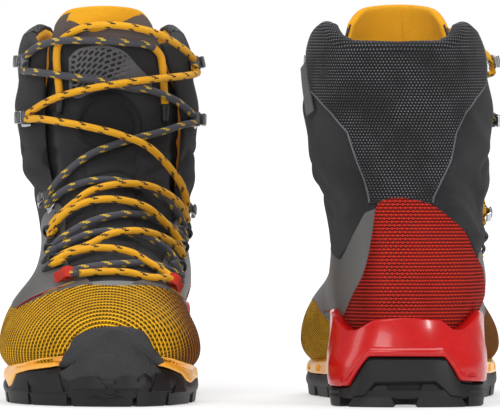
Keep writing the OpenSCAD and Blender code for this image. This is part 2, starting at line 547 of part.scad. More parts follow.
// Each tail's points: place, row and height of the lace's centre over the surface.
LEFT_TAIL = [[0.33, 19.6, 5], [0.22, 20.1, 7], [0.08, 20.4, 7], [-0.05, 20.4, 5], [-0.13, 20.1, 3],
    [-0.18, 19.6, 2.2], [-0.185, 18.9, 2], [-0.18, 18.2, 1.6], [-0.175, 17.6, 1.4], [-0.17, 17.1, 1.4]];
RIGHT_TAIL = [[-0.26, 19.5, 5], [-0.17, 19.7, 6.4], [-0.04, 19.7, 5], [0.1, 19.6, 4], [0.19, 19.5, 3],
    [0.235, 19.1, 2.2], [0.24, 18.5, 2], [0.24, 17.9, 1.6], [0.24, 17.3, 1.4], [0.24, 16.8, 1.4]];
over_tail = 6.4;
module lace_upper() {
    color("#e3a81f") {
        tube(upper_half(-1, over, LEFT_TAIL), lace_d, 8, 1);
        tube(upper_half(1, under, RIGHT_TAIL), lace_d, 8, 1);
    }
}
module lace_aglets() {
    color("#1d1d1f")
        for (tail = [LEFT_TAIL, RIGHT_TAIL])
            let (c = tail[len(tail) - 1], a = upper(c[1] - 0.06, c[0], -c[2]),
                b = upper(c[1] - 1, c[0], -c[2]))
                translate(a)
                    aim(b - a)
                        cylinder(h = 9, r = lace_r - 0.2, $fn = 24);
}
// Direction out of the surface at row u and place q.
function out_of(u, q) = let (a = upper(u, q + 0.02) - upper(u, q - 0.02),
    b = upper(u + 0.05, q) - upper(u - 0.05, q), n = cross(a, b)) n / norm(n);
// Wire ring round the lace in holder k; open hooks leave part of the turn away.
module wire_ring(k, side, open = false) {
    h = holder(k, side);
    t = upper(h[1] + 0.1, h[0] + outward(side)) - upper(h[1] - 0.1, h[0] + outward(side));
    translate(apex(k, side))
        aim(t)
            rotate([0, 0, open ? 100 * side : 0])
                rotate_extrude(angle = open ? 250 : 360, $fn = 32)
                    translate([lace_r + gap + wire_d / 2, 0])
                        circle(d = wire_d, $fn = 16);
}
// Base plate and rivet under holder k, through the panel.
module rivet(k, side, r) {
    h = holder(k, side);
    q = h[0] + outward(side) * 1.5;
    translate(upper(h[1], q, skin_in - 0.1))
        aim(out_of(h[1], q))
            cylinder(h = panel_wall + 1.5, r = r, $fn = 32);
}
module eyelet_loops() {
    color("#3c3d40")
        for (k = [1:3], side = [-1, 1]) {
            wire_ring(k, side);
            rivet(k, side, 3);
        }
}
module webbing_loops() {
    color("#c8321f")
        for (side = [-1, 1])
            let (h = holder(0, side),
                t = upper(h[1] + 0.1, h[0] + outward(side)) - upper(h[1] - 0.1, h[0] + outward(side)))
                translate(apex(0, side))
                    aim(t)
                        rotate_extrude($fn = 32)
                            translate([lace_r + gap, -2.5])
                                square([1.2, 5]);
}
module locking_hooks() {
    color("#8b8d90")
        for (side = [-1, 1]) {
            wire_ring(4, side, true);
            rivet(4, side, 4);
        }
}
module cuff_hooks() {
    color("#b9bbbe")
        for (k = [5, 6], side = [-1, 1]) {
            wire_ring(k, side, true);
            rivet(k, side, 4.5);
        }
}

// ---- The pair ----

// Draws one part of both boots. The right boot points its toe to -Y; the left boot
// is its mirror image and points its toe to +Y.
module both(name) {
    translate([-pair_spacing / 2 - pair_shift, 0, 0])
            children();
    translate([pair_spacing / 2 - pair_shift, 0, 0])
            mirror([0, 1, 0])
                children();
}

both("outsole_forefoot") outsole_forefoot();
both("outsole_heel") outsole_heel();
both("toe_cap") toe_cap();
both("midsole_forefoot") midsole_forefoot();
both("heel_cradle") heel_cradle();
both("midsole_core") midsole_core();
both("shank") shank();
both("lasting_board") lasting_board();
both("footbed") footbed();
both("foot_lining") foot_lining();
both("heel_stiffener") heel_stiffener();
both("vamp") vamp();
both("quarter_lateral") quarter_lateral();
both("quarter_medial") quarter_medial();
both("heel_counter") heel_counter();
both("tongue_lower") tongue_lower();
both("eyelet_loops") eyelet_loops();
both("webbing_loops") webbing_loops();
both("locking_hooks") locking_hooks();
both("lace_lower") lace_lower();
both("ankle_softshell") ankle_softshell();
both("tongue_flex") tongue_flex();
both("lace_crossing") lace_crossing();
both("collar_lining") collar_lining();
both("cuff_softshell") cuff_softshell();
both("rear_panel") rear_panel();
both("tongue_upper") tongue_upper();
both("cuff_hooks") cuff_hooks();
both("lace_upper") lace_upper();
both("lace_aglets") lace_aglets();
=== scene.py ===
"""The looks of a pair of mountaineering boots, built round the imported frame."""
import json
import math

import bpy
import numpy as np
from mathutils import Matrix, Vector


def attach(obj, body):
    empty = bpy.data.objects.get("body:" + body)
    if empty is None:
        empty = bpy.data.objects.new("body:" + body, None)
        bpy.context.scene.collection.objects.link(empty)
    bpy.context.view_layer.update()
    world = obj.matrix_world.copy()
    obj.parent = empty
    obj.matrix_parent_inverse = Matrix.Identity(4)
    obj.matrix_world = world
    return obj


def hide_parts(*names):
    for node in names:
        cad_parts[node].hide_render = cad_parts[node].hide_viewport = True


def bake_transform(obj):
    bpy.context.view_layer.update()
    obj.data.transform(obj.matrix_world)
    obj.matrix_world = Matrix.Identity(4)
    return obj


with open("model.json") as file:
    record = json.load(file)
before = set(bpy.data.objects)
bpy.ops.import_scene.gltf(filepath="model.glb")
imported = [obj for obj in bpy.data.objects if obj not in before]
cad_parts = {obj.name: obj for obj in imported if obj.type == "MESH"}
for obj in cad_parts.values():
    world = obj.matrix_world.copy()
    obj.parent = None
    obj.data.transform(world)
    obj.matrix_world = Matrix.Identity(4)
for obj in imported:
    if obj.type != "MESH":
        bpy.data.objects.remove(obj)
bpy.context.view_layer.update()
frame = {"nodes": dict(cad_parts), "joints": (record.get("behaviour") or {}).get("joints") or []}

MM = 0.001
# X of each boot's own origin: its ankle hinge lies over the middle of the boot.
BOOT_X = {j["name"].split("_")[0]: j["pos_m"][0] for j in frame["joints"] if j["type"] == "hinge"}
# Heights between which the soft ankle band bends, in millimetres.
BAND_LOW, BAND_HIGH = 112.0, 130.0

# ---- Camera, floor and light ----

CAMERA_DISTANCE = 5.0
CAMERA_AZIMUTH, CAMERA_ELEVATION = math.radians(1.0), math.radians(0.72)
CAMERA_LENS = 663.5
# Brightness of the sky away from the backdrop, and half the floor's width in metres.
SKY = 0.3
FLOOR = 30.0
# What most lamps aim at; then name, place, aim, size and power of each lamp.
BOOTS = (0, 0, 0.1)
LIGHTS = [
    ("top", (0.1, -0.1, 1.5), BOOTS, (1.3, 0.9), 15),
    ("front", (-0.6, -2.0, 1.2), BOOTS, (0.9, 0.9), 16),
    ("right_strip", (1.1, -1.3, 0.42), (0.12, -0.1, 0.05), (0.16, 0.5), 9),
    ("left_strip", (-1.4, -0.5, 0.6), BOOTS, (0.4, 1.0), 4),
    ("back", (0.0, 1.9, 1.1), BOOTS, (1.2, 0.8), 9),
]


def make_camera():
    aim = Vector(((BOOT_X["right"] + BOOT_X["left"]) / 2, 0, 0.1035))
    away = Vector((math.sin(CAMERA_AZIMUTH) * math.cos(CAMERA_ELEVATION),
                   -math.cos(CAMERA_AZIMUTH) * math.cos(CAMERA_ELEVATION), math.sin(CAMERA_ELEVATION)))
    camera = bpy.data.objects.new("camera", bpy.data.cameras.new("camera"))
    bpy.context.scene.collection.objects.link(camera)
    camera.location = aim + away * CAMERA_DISTANCE
    camera.rotation_mode = "QUATERNION"
    camera.rotation_quaternion = (-away).to_track_quat("-Z", "Y")
    camera.data.lens = CAMERA_LENS
    camera.data.clip_start, camera.data.clip_end = 0.1, 100
    bpy.context.scene.camera = camera


def area_light(name, place, aim, size, power):
    light = bpy.data.lights.new(name, "AREA")
    light.shape = "RECTANGLE"
    light.size, light.size_y = size
    light.energy = power
    lamp = bpy.data.objects.new(name, light)
    lamp.location = place
    lamp.rotation_euler = (Vector(aim) - Vector(place)).to_track_quat("-Z", "Y").to_euler()
    bpy.context.scene.collection.objects.link(lamp)


class Nodes:
    """A node tree with short ways to add and wire its nodes."""

    def __init__(self, tree):
        self.tree = tree

    def fill(self, socket, value):
        value = getattr(value, "socket", value)
        if isinstance(value, bpy.types.NodeSocket):
            self.tree.links.new(value, socket)
        else:
            socket.default_value = value

    def add(self, kind, *values, **settings):
        """New node with its first inputs filled in order."""
        node = self.tree.nodes.new("ShaderNode" + kind)
        for key, value in settings.items():
            setattr(node, key, value)
        for socket, value in zip(node.inputs, values):
            self.fill(socket, value)
        return node


def make_world():
    """White backdrop at eye level behind the boots, dimmer overhead and in front of them."""
    bpy.context.scene.view_settings.view_transform = "Standard"
    world = bpy.data.worlds.new("studio")
    bpy.context.scene.world = world
    world.use_nodes = True
    nodes = Nodes(world.node_tree)
    way = nodes.add("SeparateXYZ", nodes.add("TexCoord").outputs["Generated"])
    low = nodes.add("MapRange", way.outputs[2], 0.06, 0.22, 1.0, 0.0)
    behind = nodes.add("MapRange", way.outputs[1], 0.1, 0.7, 0.12, 1.0)
    both = nodes.add("Math", low.outputs[0], behind.outputs[0], operation="MULTIPLY")
    total = nodes.add("MapRange", both.outputs[0], 0.0, 1.0, SKY, 1.0)
    background = world.node_tree.nodes["Background"]
    background.inputs["Color"].default_value = (1, 1, 1, 1)
    nodes.fill(background.inputs["Strength"], total.outputs[0])


def make_floor():
    """Pale paper that glows softly, more so with distance, so that it stays white to the horizon."""
    mesh = bpy.data.meshes.new("floor")
    corners = [(-FLOOR, -FLOOR, 0), (FLOOR, -FLOOR, 0), (FLOOR, FLOOR, 0), (-FLOOR, FLOOR, 0)]
    mesh.from_pydata(corners, [], [(0, 1, 2, 3)])
    floor = bpy.data.objects.new("floor", mesh)
    floor.location.z = -0.0002
    bpy.context.scene.collection.objects.link(floor)
    pale = bpy.data.materials.new("floor_pale")
    pale.use_nodes = True
    shader = pale.node_tree.nodes["Principled BSDF"]
    shader.inputs["Base Color"].default_value = (0.45, 0.45, 0.45, 1)
    shader.inputs["Roughness"].default_value = 0.9
    shader.inputs["Emission Color"].default_value = (1, 1, 1, 1)
    nodes = Nodes(pale.node_tree)
    away = nodes.add("VectorMath", nodes.add("TexCoord").outputs["Object"], operation="LENGTH")
    glow = nodes.add("MapRange", away.outputs["Value"], 0.3, 3.0, 0.5, 1.0)
    nodes.fill(shader.inputs["Emission Strength"], glow.outputs[0])
    mesh.materials.append(pale)


def make_studio():
    make_world()
    for light in LIGHTS:
        area_light(*light)
    make_floor()


# ---- The boot's surface, as the CAD model has it ----

# Rows of the upper from the toe tip round the instep and up the shaft: front point y and
# z, back point y and z, share of the way to the widest place, roundness in front and
# behind, centre x, lateral and medial half widths.
SECTIONS = np.array([
    [-146.5, 34, -146.5, 28, 0.60, 1.00, 1.00, 12, 0.6, 0.6],
    [-144.7, 41, -145.0, 24, 0.60, 1.00, 1.00, 11.5, 15, 14.5],
    [-139.5, 46, -140.0, 21, 0.60, 1.00, 1.00, 10, 27.5, 26],
    [-128, 51, -128, 19, 0.62, 1.00, 0.75, 8, 39, 36.5],
    [-108, 55, -108, 16, 0.66, 1.00, 0.52, 6, 47.5, 45],
    [-84, 59, -84, 14, 0.70, 1.00, 0.42, 4, 52.5, 50],
    [-58, 65, -56, 14, 0.70, 1.00, 0.42, 2, 54.5, 52],
    [-34, 75, -26, 16, 0.68, 1.00, 0.48, 1, 53, 48.5],
    [-14, 86, 6, 19, 0.64, 1.00, 0.68, 0.5, 48, 44.5],
    [2, 97, 40, 23, 0.58, 1.00, 0.86, 0, 43, 43],
    [13, 107, 76, 26, 0.54, 0.95, 0.90, 0, 39, 44.5],
    [20, 116, 112, 28, 0.52, 0.92, 0.85, 0, 37.5, 46.5],
    [24, 124, 138, 36, 0.50, 0.90, 0.80, 0, 37.5, 47],
    [27, 131, 147, 56, 0.50, 0.90, 0.80, 0, 38, 47],
    [29, 138, 145, 78, 0.50, 0.88, 0.80, 0, 38, 47],
    [31, 145, 141, 98, 0.50, 0.86, 0.82, 0, 38, 47],
    [32, 153, 139, 116, 0.50, 0.86, 0.84, 0, 38, 47],
    [33, 163, 141, 136, 0.50, 0.86, 0.84, 0, 38, 47],
    [33, 174, 144, 157, 0.50, 0.86, 0.84, 0, 38, 47],
    [33, 186, 147, 176, 0.50, 0.86, 0.84, 0, 38, 47],
    [33, 197, 148, 190, 0.50, 0.86, 0.84, 0, 38, 47],
    [33, 209, 148.5, 205, 0.50, 0.86, 0.84, 0, 38, 47],
    [33, 221, 149, 220, 0.50, 0.86, 0.84, 0, 38, 47]])
# Half widths of ankle and shaft by height: height, lateral, medial.
SHAFT = np.array([
    [40, 37.5, 47.2], [55, 37, 47], [70, 35.5, 45.2], [85, 35, 43], [100, 37, 43.6], [115, 41, 45.6],
    [130, 46, 47.8], [147, 48.2, 48.6], [162, 48, 48.4], [180, 47.5, 46], [190, 46.5, 43.5],
    [200, 43, 39], [212, 38, 34], [224, 34, 30]])
# Edge of the sole from below, a closed smooth curve: toe tip, lateral side, heel, medial side.
SOLE_EDGE = np.array([
    [12, -148], [-6, -143.5], [-22, -131], [-37, -112], [-47, -86], [-50.5, -57], [-46, -27], [-38, 5],
    [-34.5, 40], [-35, 75], [-37, 108], [-34.5, 133], [-20, 147.5], [4.5, 151], [29, 147.5], [43.5, 133],
    [46.5, 108], [44, 75], [43.5, 40], [46, 5], [51, -27], [53.5, -57], [51.5, -86], [46, -112],
    [38.5, -131], [28, -143.5]])


def ease(a, b, v):
    t = np.clip((v - a) / (b - a), 0, 1)
    return t * t * (3 - 2 * t)


def mix(a, b, f):
    return a + (b - a) * f


def cubic(before, a, b, after, f):
    m, n = (b - before) / 2, (after - a) / 2
    return (a * (2 * f**3 - 3 * f**2 + 1) + m * (f**3 - 2 * f**2 + f) + b * (3 * f**2 - 2 * f**3)
            + n * (f**3 - f**2))


def along(rows, t):
    """Smooth value at place t along a list of rows."""
    rows = np.asarray(rows, float)
    last = len(rows) - 1
    u = np.clip(np.asarray(t, float), 0, last)
    i = np.minimum(np.floor(u).astype(int), last - 1)
    f = (u - i).reshape(u.shape + (1,) * (rows.ndim - 1))
    return cubic(rows[np.maximum(i - 1, 0)], rows[i], rows[i + 1], rows[np.minimum(i + 2, last)], f)


def table(rows, key, column=1):
    """Straight-line value of a keyed table."""
    rows = np.asarray(rows, float)
    return np.interp(key, rows[:, 0], rows[:, column])


def upper(u, q, depth=0.0):
    """Point of the upper: row u, place q round it (0 front, 1 back, negative lateral)."""
    u, q, depth = np.broadcast_arrays(*(np.asarray(v, float) for v in (u, q, depth)))
    q = np.where(q > 1, q - 2, np.where(q < -1, q + 2, q))
    r = along(SECTIONS, u)
    a, m = np.abs(q), r[..., 4]
    front = 90 * (2 * np.minimum(a, 0.5)) ** (1 / r[..., 5])
    back = 180 - 90 * (2 - 2 * np.maximum(a, 0.5)) ** (1 / r[..., 6])
    angle = np.radians(np.where(a <= 0.5, front, back))
    c = np.cos(angle)
    share = np.where(a <= 0.5, m * (1 - c), m - (1 - m) * c)
    span = np.hypot(r[..., 2] - r[..., 0], r[..., 3] - r[..., 1])
    cut = np.minimum(depth / np.maximum(span, 0.1), 0.42)
    share = cut + share * (1 - 2 * cut)
    z = r[..., 1] + share * (r[..., 3] - r[..., 1])
    on_shaft = ease(40, 85, z) * ease(6, 9.5, u)
    widths = along(SHAFT, np.interp(z, SHAFT[:, 0], np.arange(len(SHAFT))))
    lateral = q < 0
    half = mix(np.where(lateral, r[..., 8], r[..., 9]),
               np.where(lateral, widths[..., 1], widths[..., 2]), on_shaft)
    half = np.maximum(half - depth, half * 0.3)
    power = np.where(a <= 0.5, r[..., 5], r[..., 6])
    x = r[..., 7] + np.where(lateral, -1, 1) * half * np.abs(np.sin(angle)) ** power
    y = r[..., 0] + share * (r[..., 2] - r[..., 0]) + depth * (1 - ease(0, 3.5, u))
    return np.stack([x, y, z], -1)


def halved(below, low, high):
    """Narrows two arrays to where a test turns from true to false between them."""
    for _ in range(18):
        middle = (low + high) / 2
        under = below(middle)
        low, high = np.where(under, middle, low), np.where(under, high, middle)
    return low, high


def row_at(q, z, low=6.0, high=22.0):
    """Row at which place q reaches height z."""
    q, z = np.broadcast_arrays(np.asarray(q, float), np.asarray(z, float))
    low, high = halved(lambda u: upper(u, q)[..., 2] < z, np.full(q.shape, low), np.full(q.shape, high))
    return (low + high) / 2


def unit(v):
    return v / np.linalg.norm(v, axis=-1, keepdims=True)


def sole_edge(s, inset=0.0):
    """Point of the sole's edge at place s, moved inwards by inset."""
    s = np.asarray(s, float)

    def at(v):
        i = np.floor(v).astype(int)
        k = [SOLE_EDGE[np.mod(i + d, len(SOLE_EDGE))] for d in (-1, 0, 1, 2)]
        return cubic(*k, (v - i)[..., None])

    p, d = at(s), unit(at(s + 0.04) - at(s - 0.04))
    return np.stack([p[..., 0] + d[..., 1] * inset, p[..., 1] - d[..., 0] * inset], -1)


# ---- Mesh building ----


class Shape:
    """The faces of one piece in a boot's own frame, in millimetres, with cloth coordinates."""

    def __init__(self):
        self.points, self.faces, self.corners, self.slots, self.count = [], [], [], [], 0

    def add(self, points, faces, corners, slot=0):
        points = np.asarray(points, float).reshape(-1, 3)
        self.points.append(points)
        self.faces += [[k + self.count for k in f] for f in faces]
        self.corners += [np.asarray(c, float) for c in corners]
        self.slots += list(slot) if np.ndim(slot) else [slot] * len(faces)
        self.count += len(points)

    def sheet(self, outer, inner, uv, slots=(0, 0), ring=False):
        """Closed solid between two grids with the same columns and rows. A ring's columns close up."""
        columns, rows = outer.shape[:2]
        points = np.concatenate([outer, inner[:, ::-1]], 1)
        cloth = np.concatenate([uv, uv[:, ::-1]], 1)
        index = np.arange(columns * rows * 2).reshape(columns, rows * 2)
        last = columns if ring else columns - 1
        quads, corners = [], []
        for grid, out in ((index, quads), (cloth, corners)):
            after = np.roll(grid, -1, axis=1)
            quad = np.stack([grid, np.roll(grid, -1, axis=0), np.roll(after, -1, axis=0), after], 2)[:last]
            out.append(quad.reshape((-1, 4) + grid.shape[2:]))
            for column, order in () if ring else ((0, 1), (columns - 1, -1)):
                face, back = grid[column, :rows], grid[column, rows:][::-1]
                cap = np.stack([face[:-1], face[1:], back[1:], back[:-1]], 1)
                out.append(cap[:, ::order])
        quads = np.concatenate(quads)
        side = np.full((last, rows * 2), slots[0])
        side[:, rows:] = slots[1]
        caps = [slots[0]] * (len(quads) - side.size)
        self.add(points, quads.tolist(), np.concatenate(corners), side.ravel().tolist() + caps)

    def loft(self, rings, slot=0):
        """Closed solid through rings of points with equal counts, anticlockwise seen from the end."""
        rings = np.asarray(rings, float)
        steps, count = rings.shape[:2]
        index = np.arange(steps * count).reshape(steps, count)
        beside = np.roll(index, -1, axis=1)
        quads = np.stack([index[:-1], beside[:-1], beside[1:], index[1:]], 2).reshape(-1, 4)
        length = np.concatenate([[0], np.cumsum(np.linalg.norm(np.diff(rings, axis=0), axis=2).mean(1))])
        lap = np.linalg.norm(np.diff(rings[steps // 2], axis=0, append=rings[steps // 2][:1]), axis=1)
        lap = np.concatenate([[0], np.cumsum(lap)])
        i, k = np.meshgrid(np.arange(steps - 1), np.arange(count), indexing="ij")
        corners = np.stack([np.stack([lap[k + b], length[i + a]], -1)
                            for a, b in ((0, 0), (0, 1), (1, 1), (1, 0))], 2).reshape(-1, 4, 2)
        faces = [*quads.tolist(), index[0][::-1].tolist(), index[-1].tolist()]
        marks = [*corners, rings[0][::-1, :2], rings[-1][:, :2]]
        self.add(rings, faces, marks, slot)

    def facing_loft(self, rings, slot=0):
        """As loft, with the rings turned so that the faces look out."""
        rings = np.array(rings)
        go = rings[1].mean(0) - rings[0].mean(0)
        turned = np.cross(rings[0][1] - rings[0][0], rings[0][2] - rings[0][1]) @ go
        self.loft(rings if turned > 0 else rings[:, ::-1], slot)

    def tube(self, path, radius, sides=10, flat=1.0, slot=0, closed=False, up=(0, 0.3, 1)):
        """Round or flattened tube along a path of points. radius may change along it."""
        path = np.asarray(path, float)
        if closed:
            ahead, behind = np.roll(path, -1, axis=0), np.roll(path, 1, axis=0)
        else:
            ahead, behind = np.vstack([path[1:], path[-1:]]), np.vstack([path[:1], path[:-1]])
        go = unit(ahead - behind)
        side = unit(np.cross(go, np.asarray(up, float)))
        lift = np.cross(side, go)
        turn = np.linspace(0, 2 * np.pi, sides, endpoint=False)
        size = np.broadcast_to(np.asarray(radius, float), len(path))[:, None, None]
        rings = path[:, None] + size * (side[:, None] * np.cos(turn)[None, :, None]
                                        + lift[:, None] * flat * np.sin(turn)[None, :, None])
        rings = rings[:, ::-1]
        if not closed:
            self.loft(rings, slot)
            return
        index = np.arange(rings.shape[0] * sides).reshape(-1, sides)
        over = np.roll(index, -1, axis=0)
        quads = np.stack([index, np.roll(index, -1, axis=1), np.roll(over, -1, axis=1), over], 2)
        quads = quads.reshape(-1, 4).tolist()
        self.add(rings, quads, np.zeros((len(quads), 4, 2)), slot)

    def stitch(self, a, b, radius):
        """Short rounded rod from a to b."""
        share = np.array([0, 0.12, 0.5, 0.88, 1])
        self.tube(a + (b - a) * share[:, None], radius * np.array([0.45, 0.9, 1, 0.9, 0.45]), 6)


def length_along(points, axis):
    step = np.linalg.norm(np.diff(points, axis=axis), axis=-1)
    return np.concatenate([np.zeros_like(np.take(step, [0], axis)), np.cumsum(step, axis)], axis)


def at_lengths(points, lengths):
    """Points at given lengths along a line of points."""
    at = length_along(points, 0)
    return np.stack([np.interp(lengths, at, points[:, c]) for c in range(3)], -1)


def flat_map(points):
    """Cloth coordinates of a grid: the lengths along its lines."""
    return np.stack([length_along(points, 0), length_along(points, 1)], -1)


def normals(points):
    n = np.cross(np.gradient(points, axis=0), np.gradient(points, axis=1))
    return n / np.maximum(np.linalg.norm(n, axis=-1, keepdims=True), 1e-9)


def to_border(points):
    """Distance of each grid point from the nearest border, along the grid's lines."""
    a, s = length_along(points, 0), length_along(points, 1)
    return np.minimum(np.minimum(a, a[-1:] - a), np.minimum(s, s[:, -1:] - s))


def rolled(distance, radius):
    return np.sqrt(1 - (1 - np.clip(distance / radius, 0, 1)) ** 2)


def spread(count, fine=0.006):
    """Even shares from 0 to 1 with extra ones close to both ends."""
    ends = np.array([0, 0.15, 0.45]) * fine
    return np.concatenate([ends, np.linspace(fine, 1 - fine, count), 1 - ends[::-1]])


def smooth_path(path, shares):
    return along(path, np.asarray(shares) * (len(path) - 1))


def panel(low, high, columns, rows, fine=0.006):
    """Places and rows of a panel between a lower and an upper edge."""
    i, j = spread(columns, fine), spread(rows, fine)
    a, b = smooth_path(low, i), smooth_path(high, i)
    grid = a[:, None] + (b - a)[:, None] * j[None, :, None]
    return grid[..., 0], grid[..., 1]


CENTRE_ROWS = np.linspace(0, 22, 400)
CENTRE_LENGTH = length_along(upper(CENTRE_ROWS, 0.0), 0)


def cloth(points, q, u, upright):
    """Cloth coordinates in millimetres: round the boot, and along it or up it."""
    a = length_along(points, 0)
    middle = np.argmin(np.abs(q[:, q.shape[1] // 2] - (1.0 if upright else 0.0)))
    a = a - a[middle:middle + 1]
    return np.stack([a, points[..., 2] if upright else np.interp(u, CENTRE_ROWS, CENTRE_LENGTH)], -1)


def toe_rows(points, q):
    """Knit coordinate of the vamp: rows ring the toe, and follow each other back along the sides."""
    ring = np.hypot(1.15 * (points[..., 0] - 6), points[..., 2] - 16)
    back = points[..., 1] + 75
    side = 0.3 * (back + np.sqrt(back ** 2 + 200)) * ease(0.22, 0.5, np.abs(q))
    return 0.86 * ring + 0.14 * (points[..., 1] + 150) + side


def skin_sheet(shape, points, out, uv, rise, wall, roll, relief=0.0):
    """Closed skin of even thickness round a surface, with rolled edges. relief adds height."""
    lip = rolled(to_border(points), roll)
    half = (rise + wall) / 2 * (0.2 + 0.8 * lip)
    middle = points + out * (rise - wall) / 2
    shape.sheet(middle + out * (half + relief * lip)[..., None], middle - out * half[..., None], uv)
    return shape


def plain_skin(shape, points, rise, wall, roll, relief=0.0):
    """Skin along a grid's own normals, mapped by its lengths."""
    return skin_sheet(shape, points, normals(points), flat_map(points), rise, wall, roll, relief)


def shell(q, u, rise=0.3, wall=0.8, roll=0.9, upright=False, relief=None, rows=None):
    """Skin between depths of the boot's surface. rows changes its cloth coordinates first."""
    base = upper(u, q)
    uv = cloth(base, q, u, upright)
    if rows:
        uv = rows(uv, base, q)
    extra = relief(uv, base) if relief else 0.0
    return skin_sheet(Shape(), base, normals(base), uv, rise, wall, roll, extra)


def lifted(q, u, lift, depth=0.0):
    """Points lifted off the surface, or off a depth of it, at given places and rows."""
    d = 0.02
    n = np.cross(upper(u, q + d, depth) - upper(u, q - d, depth),
                 upper(u + d, q, depth) - upper(u - d, q, depth))
    return upper(u, q, depth) + unit(n) * lift


def on_surface(path, lift, count=80):
    """Points along a smooth path of [place, row], lifted off the surface."""
    return lifted(*smooth_path(path, np.linspace(0, 1, count)).T, lift)


def tapered(count, ends, radius):
    """Radii of a strip that thins towards both ends."""
    return np.sin(np.linspace(ends, math.pi - ends, count)) * radius


def stitches(shape, points, long, space, radius):
    """Row of stitches along a line of points."""
    reach = length_along(points, 0)[-1]
    start = 0.5
    while start + long < reach:
        shape.stitch(*at_lengths(points, [start, start + long]), radius)
        start += long + space


def to_object(name, shape, side, materials, sharp):
    points = np.concatenate(shape.points) * MM
    faces, corners = shape.faces, shape.corners
    if side == "left":
        points[:, 1] *= -1
        faces = [f[::-1] for f in faces]
        corners = [c[::-1] for c in corners]
    points[:, 0] += BOOT_X[side]
    mesh = bpy.data.meshes.new(name)
    mesh.from_pydata(points.tolist(), [], faces)
    layer = mesh.uv_layers.new(name="UVMap")
    layer.data.foreach_set("uv", np.concatenate(corners).astype(np.float32).ravel())
    for m in materials:
        mesh.materials.append(m)
    mesh.polygons.foreach_set("material_index", np.array(shape.slots, np.int32))
    mesh.shade_smooth()
    mesh.set_sharp_from_angle(angle=math.radians(sharp))
    obj = bpy.data.objects.new(name, mesh)
    bpy.context.scene.collection.objects.link(obj)
    return obj


def make(name, shape, materials, body, replaces=(), sharp=40, sides=("right", "left")):
    """Makes a piece for both boots. body is foot, cuff, or both for what bends at the ankle."""
    for side in sides:
        piece = to_object(f"{side}_{name}", shape, side, materials, sharp)
        if body == "both":
            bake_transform(piece)
        else:
            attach(piece, f"{side}_{body}")
        if replaces:
            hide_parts(*[f"{side}_{n}" for n in replaces])


# ---- Materials ----

# Pitch of the knit's rows, pitch of the holes along them, and the lace's radius, in millimetres.
RIB, DASH = 2.4, 2.7
LACE_RADIUS = 2.1
# Length over which a lace's three ticks repeat, and where the first group lies.
TICK_PITCH, TICK_START = 12.5, 5.0


def linear(color, share=1.0):
    """A display colour from 0 to 255 as the shader wants it, lighter or darker by a share."""
    return tuple(((c / 255 + 0.055) / 1.055) ** 2.4 * share for c in color) + (1,)


class Signal:
    """A node's output that is worked with like a number."""

    def __init__(self, look, socket):
        self.look, self.socket = look, socket

    def __add__(self, other):
        return self.look.math("ADD", self, other)

    def __sub__(self, other):
        return self.look.math("SUBTRACT", self, other)

    def __mul__(self, other):
        return self.look.math("MULTIPLY", self, other)

    def __truediv__(self, other):
        return self.look.math("DIVIDE", self, other)


class Look(Nodes):
    """A material built round its Principled shader. u and v are cloth coordinates in millimetres."""

    def __init__(self, name, roughness, **fixed):
        self.material = bpy.data.materials.new(name)
        self.material.use_nodes = True
        super().__init__(self.material.node_tree)
        self.shader = self.tree.nodes["Principled BSDF"]
        self.shader.inputs["Roughness"].default_value = roughness
        for key, value in fixed.items():
            self.shader.inputs[key.replace("_", " ")].default_value = value
        source = self.add("TexCoord")
        self.place = source.outputs["Object"]
        cloth = self.add("SeparateXYZ", source.outputs["UV"])
        self.u, self.v = Signal(self, cloth.outputs[0]), Signal(self, cloth.outputs[1])

    def math(self, kind, *values):
        return Signal(self, self.add("Math", *values, operation=kind).outputs[0])

    def noise(self, scale, detail=3.0, rough=0.5):
        node = self.add("TexNoise", self.place)
        for key, value in (("Scale", scale), ("Detail", detail), ("Roughness", rough)):
            node.inputs[key].default_value = value
        return Signal(self, node.outputs["Fac"])

    def remap(self, value, a, b, low=0.0, high=1.0):
        node = self.add("MapRange", value, a, b, low, high, interpolation_type="SMOOTHSTEP")
        return Signal(self, node.outputs[0])

    def mix(self, share, a, b):
        node = self.add("Mix", data_type="RGBA")
        for socket, value in ((0, share), (6, a), (7, b)):
            self.fill(node.inputs[socket], value)
        return Signal(self, node.outputs[2])

    def color(self, value):
        self.fill(self.shader.inputs["Base Color"], value)

    def rough(self, value):
        self.fill(self.shader.inputs["Roughness"], value)

    def bump(self, height, depth_mm, strength=1.0):
        node = self.add("Bump")
        for key, value in (("Strength", strength), ("Distance", depth_mm * MM), ("Height", height)):
            self.fill(node.inputs[key], value)
        self.fill(self.shader.inputs["Normal"], node.outputs[0])

    def off_middle(self, value):
        """Distance of a repeating value from the middle of its turn."""
        return self.math("ABSOLUTE", self.math("FRACT", value) - 0.5)


def knit(name, body, shade_and_mottle, hole, shade_from, shade_to):
    """Ribbed knit: rows of yarn with short dark holes between them, with painted shade that darkens it
    towards one flank.
    """
    look = Look(name, 0.85, Specular_IOR_Level=0.1)
    body, shade_and_mottle, hole = linear(body), linear(shade_and_mottle), linear(hole)
    row = look.v / RIB
    across = look.off_middle(row)
    beside = look.off_middle(look.u / DASH + look.math("FLOOR", row) * 0.5)
    groove = look.remap(across, 0.12, 0.24)
    opening = groove * look.remap(beside, 0.36, 0.3)
    # Painted shade: the colour darkens towards one flank, standing in for the side that gets less light; the
    # same colour also mottles it at random.
    tone = look.mix(look.remap(look.u, shade_from, shade_to), body, shade_and_mottle)
    tone = look.mix(look.remap(look.noise(90, 4), 0.35, 0.75, 0.0, 0.3), tone, shade_and_mottle)
    tone = look.mix(groove * 0.34, tone, hole)
    look.color(look.mix(opening * 0.92, tone, hole))
    look.bump(look.noise(1400, 2) + opening * -2.0, 0.25, 0.7)
    return look.material


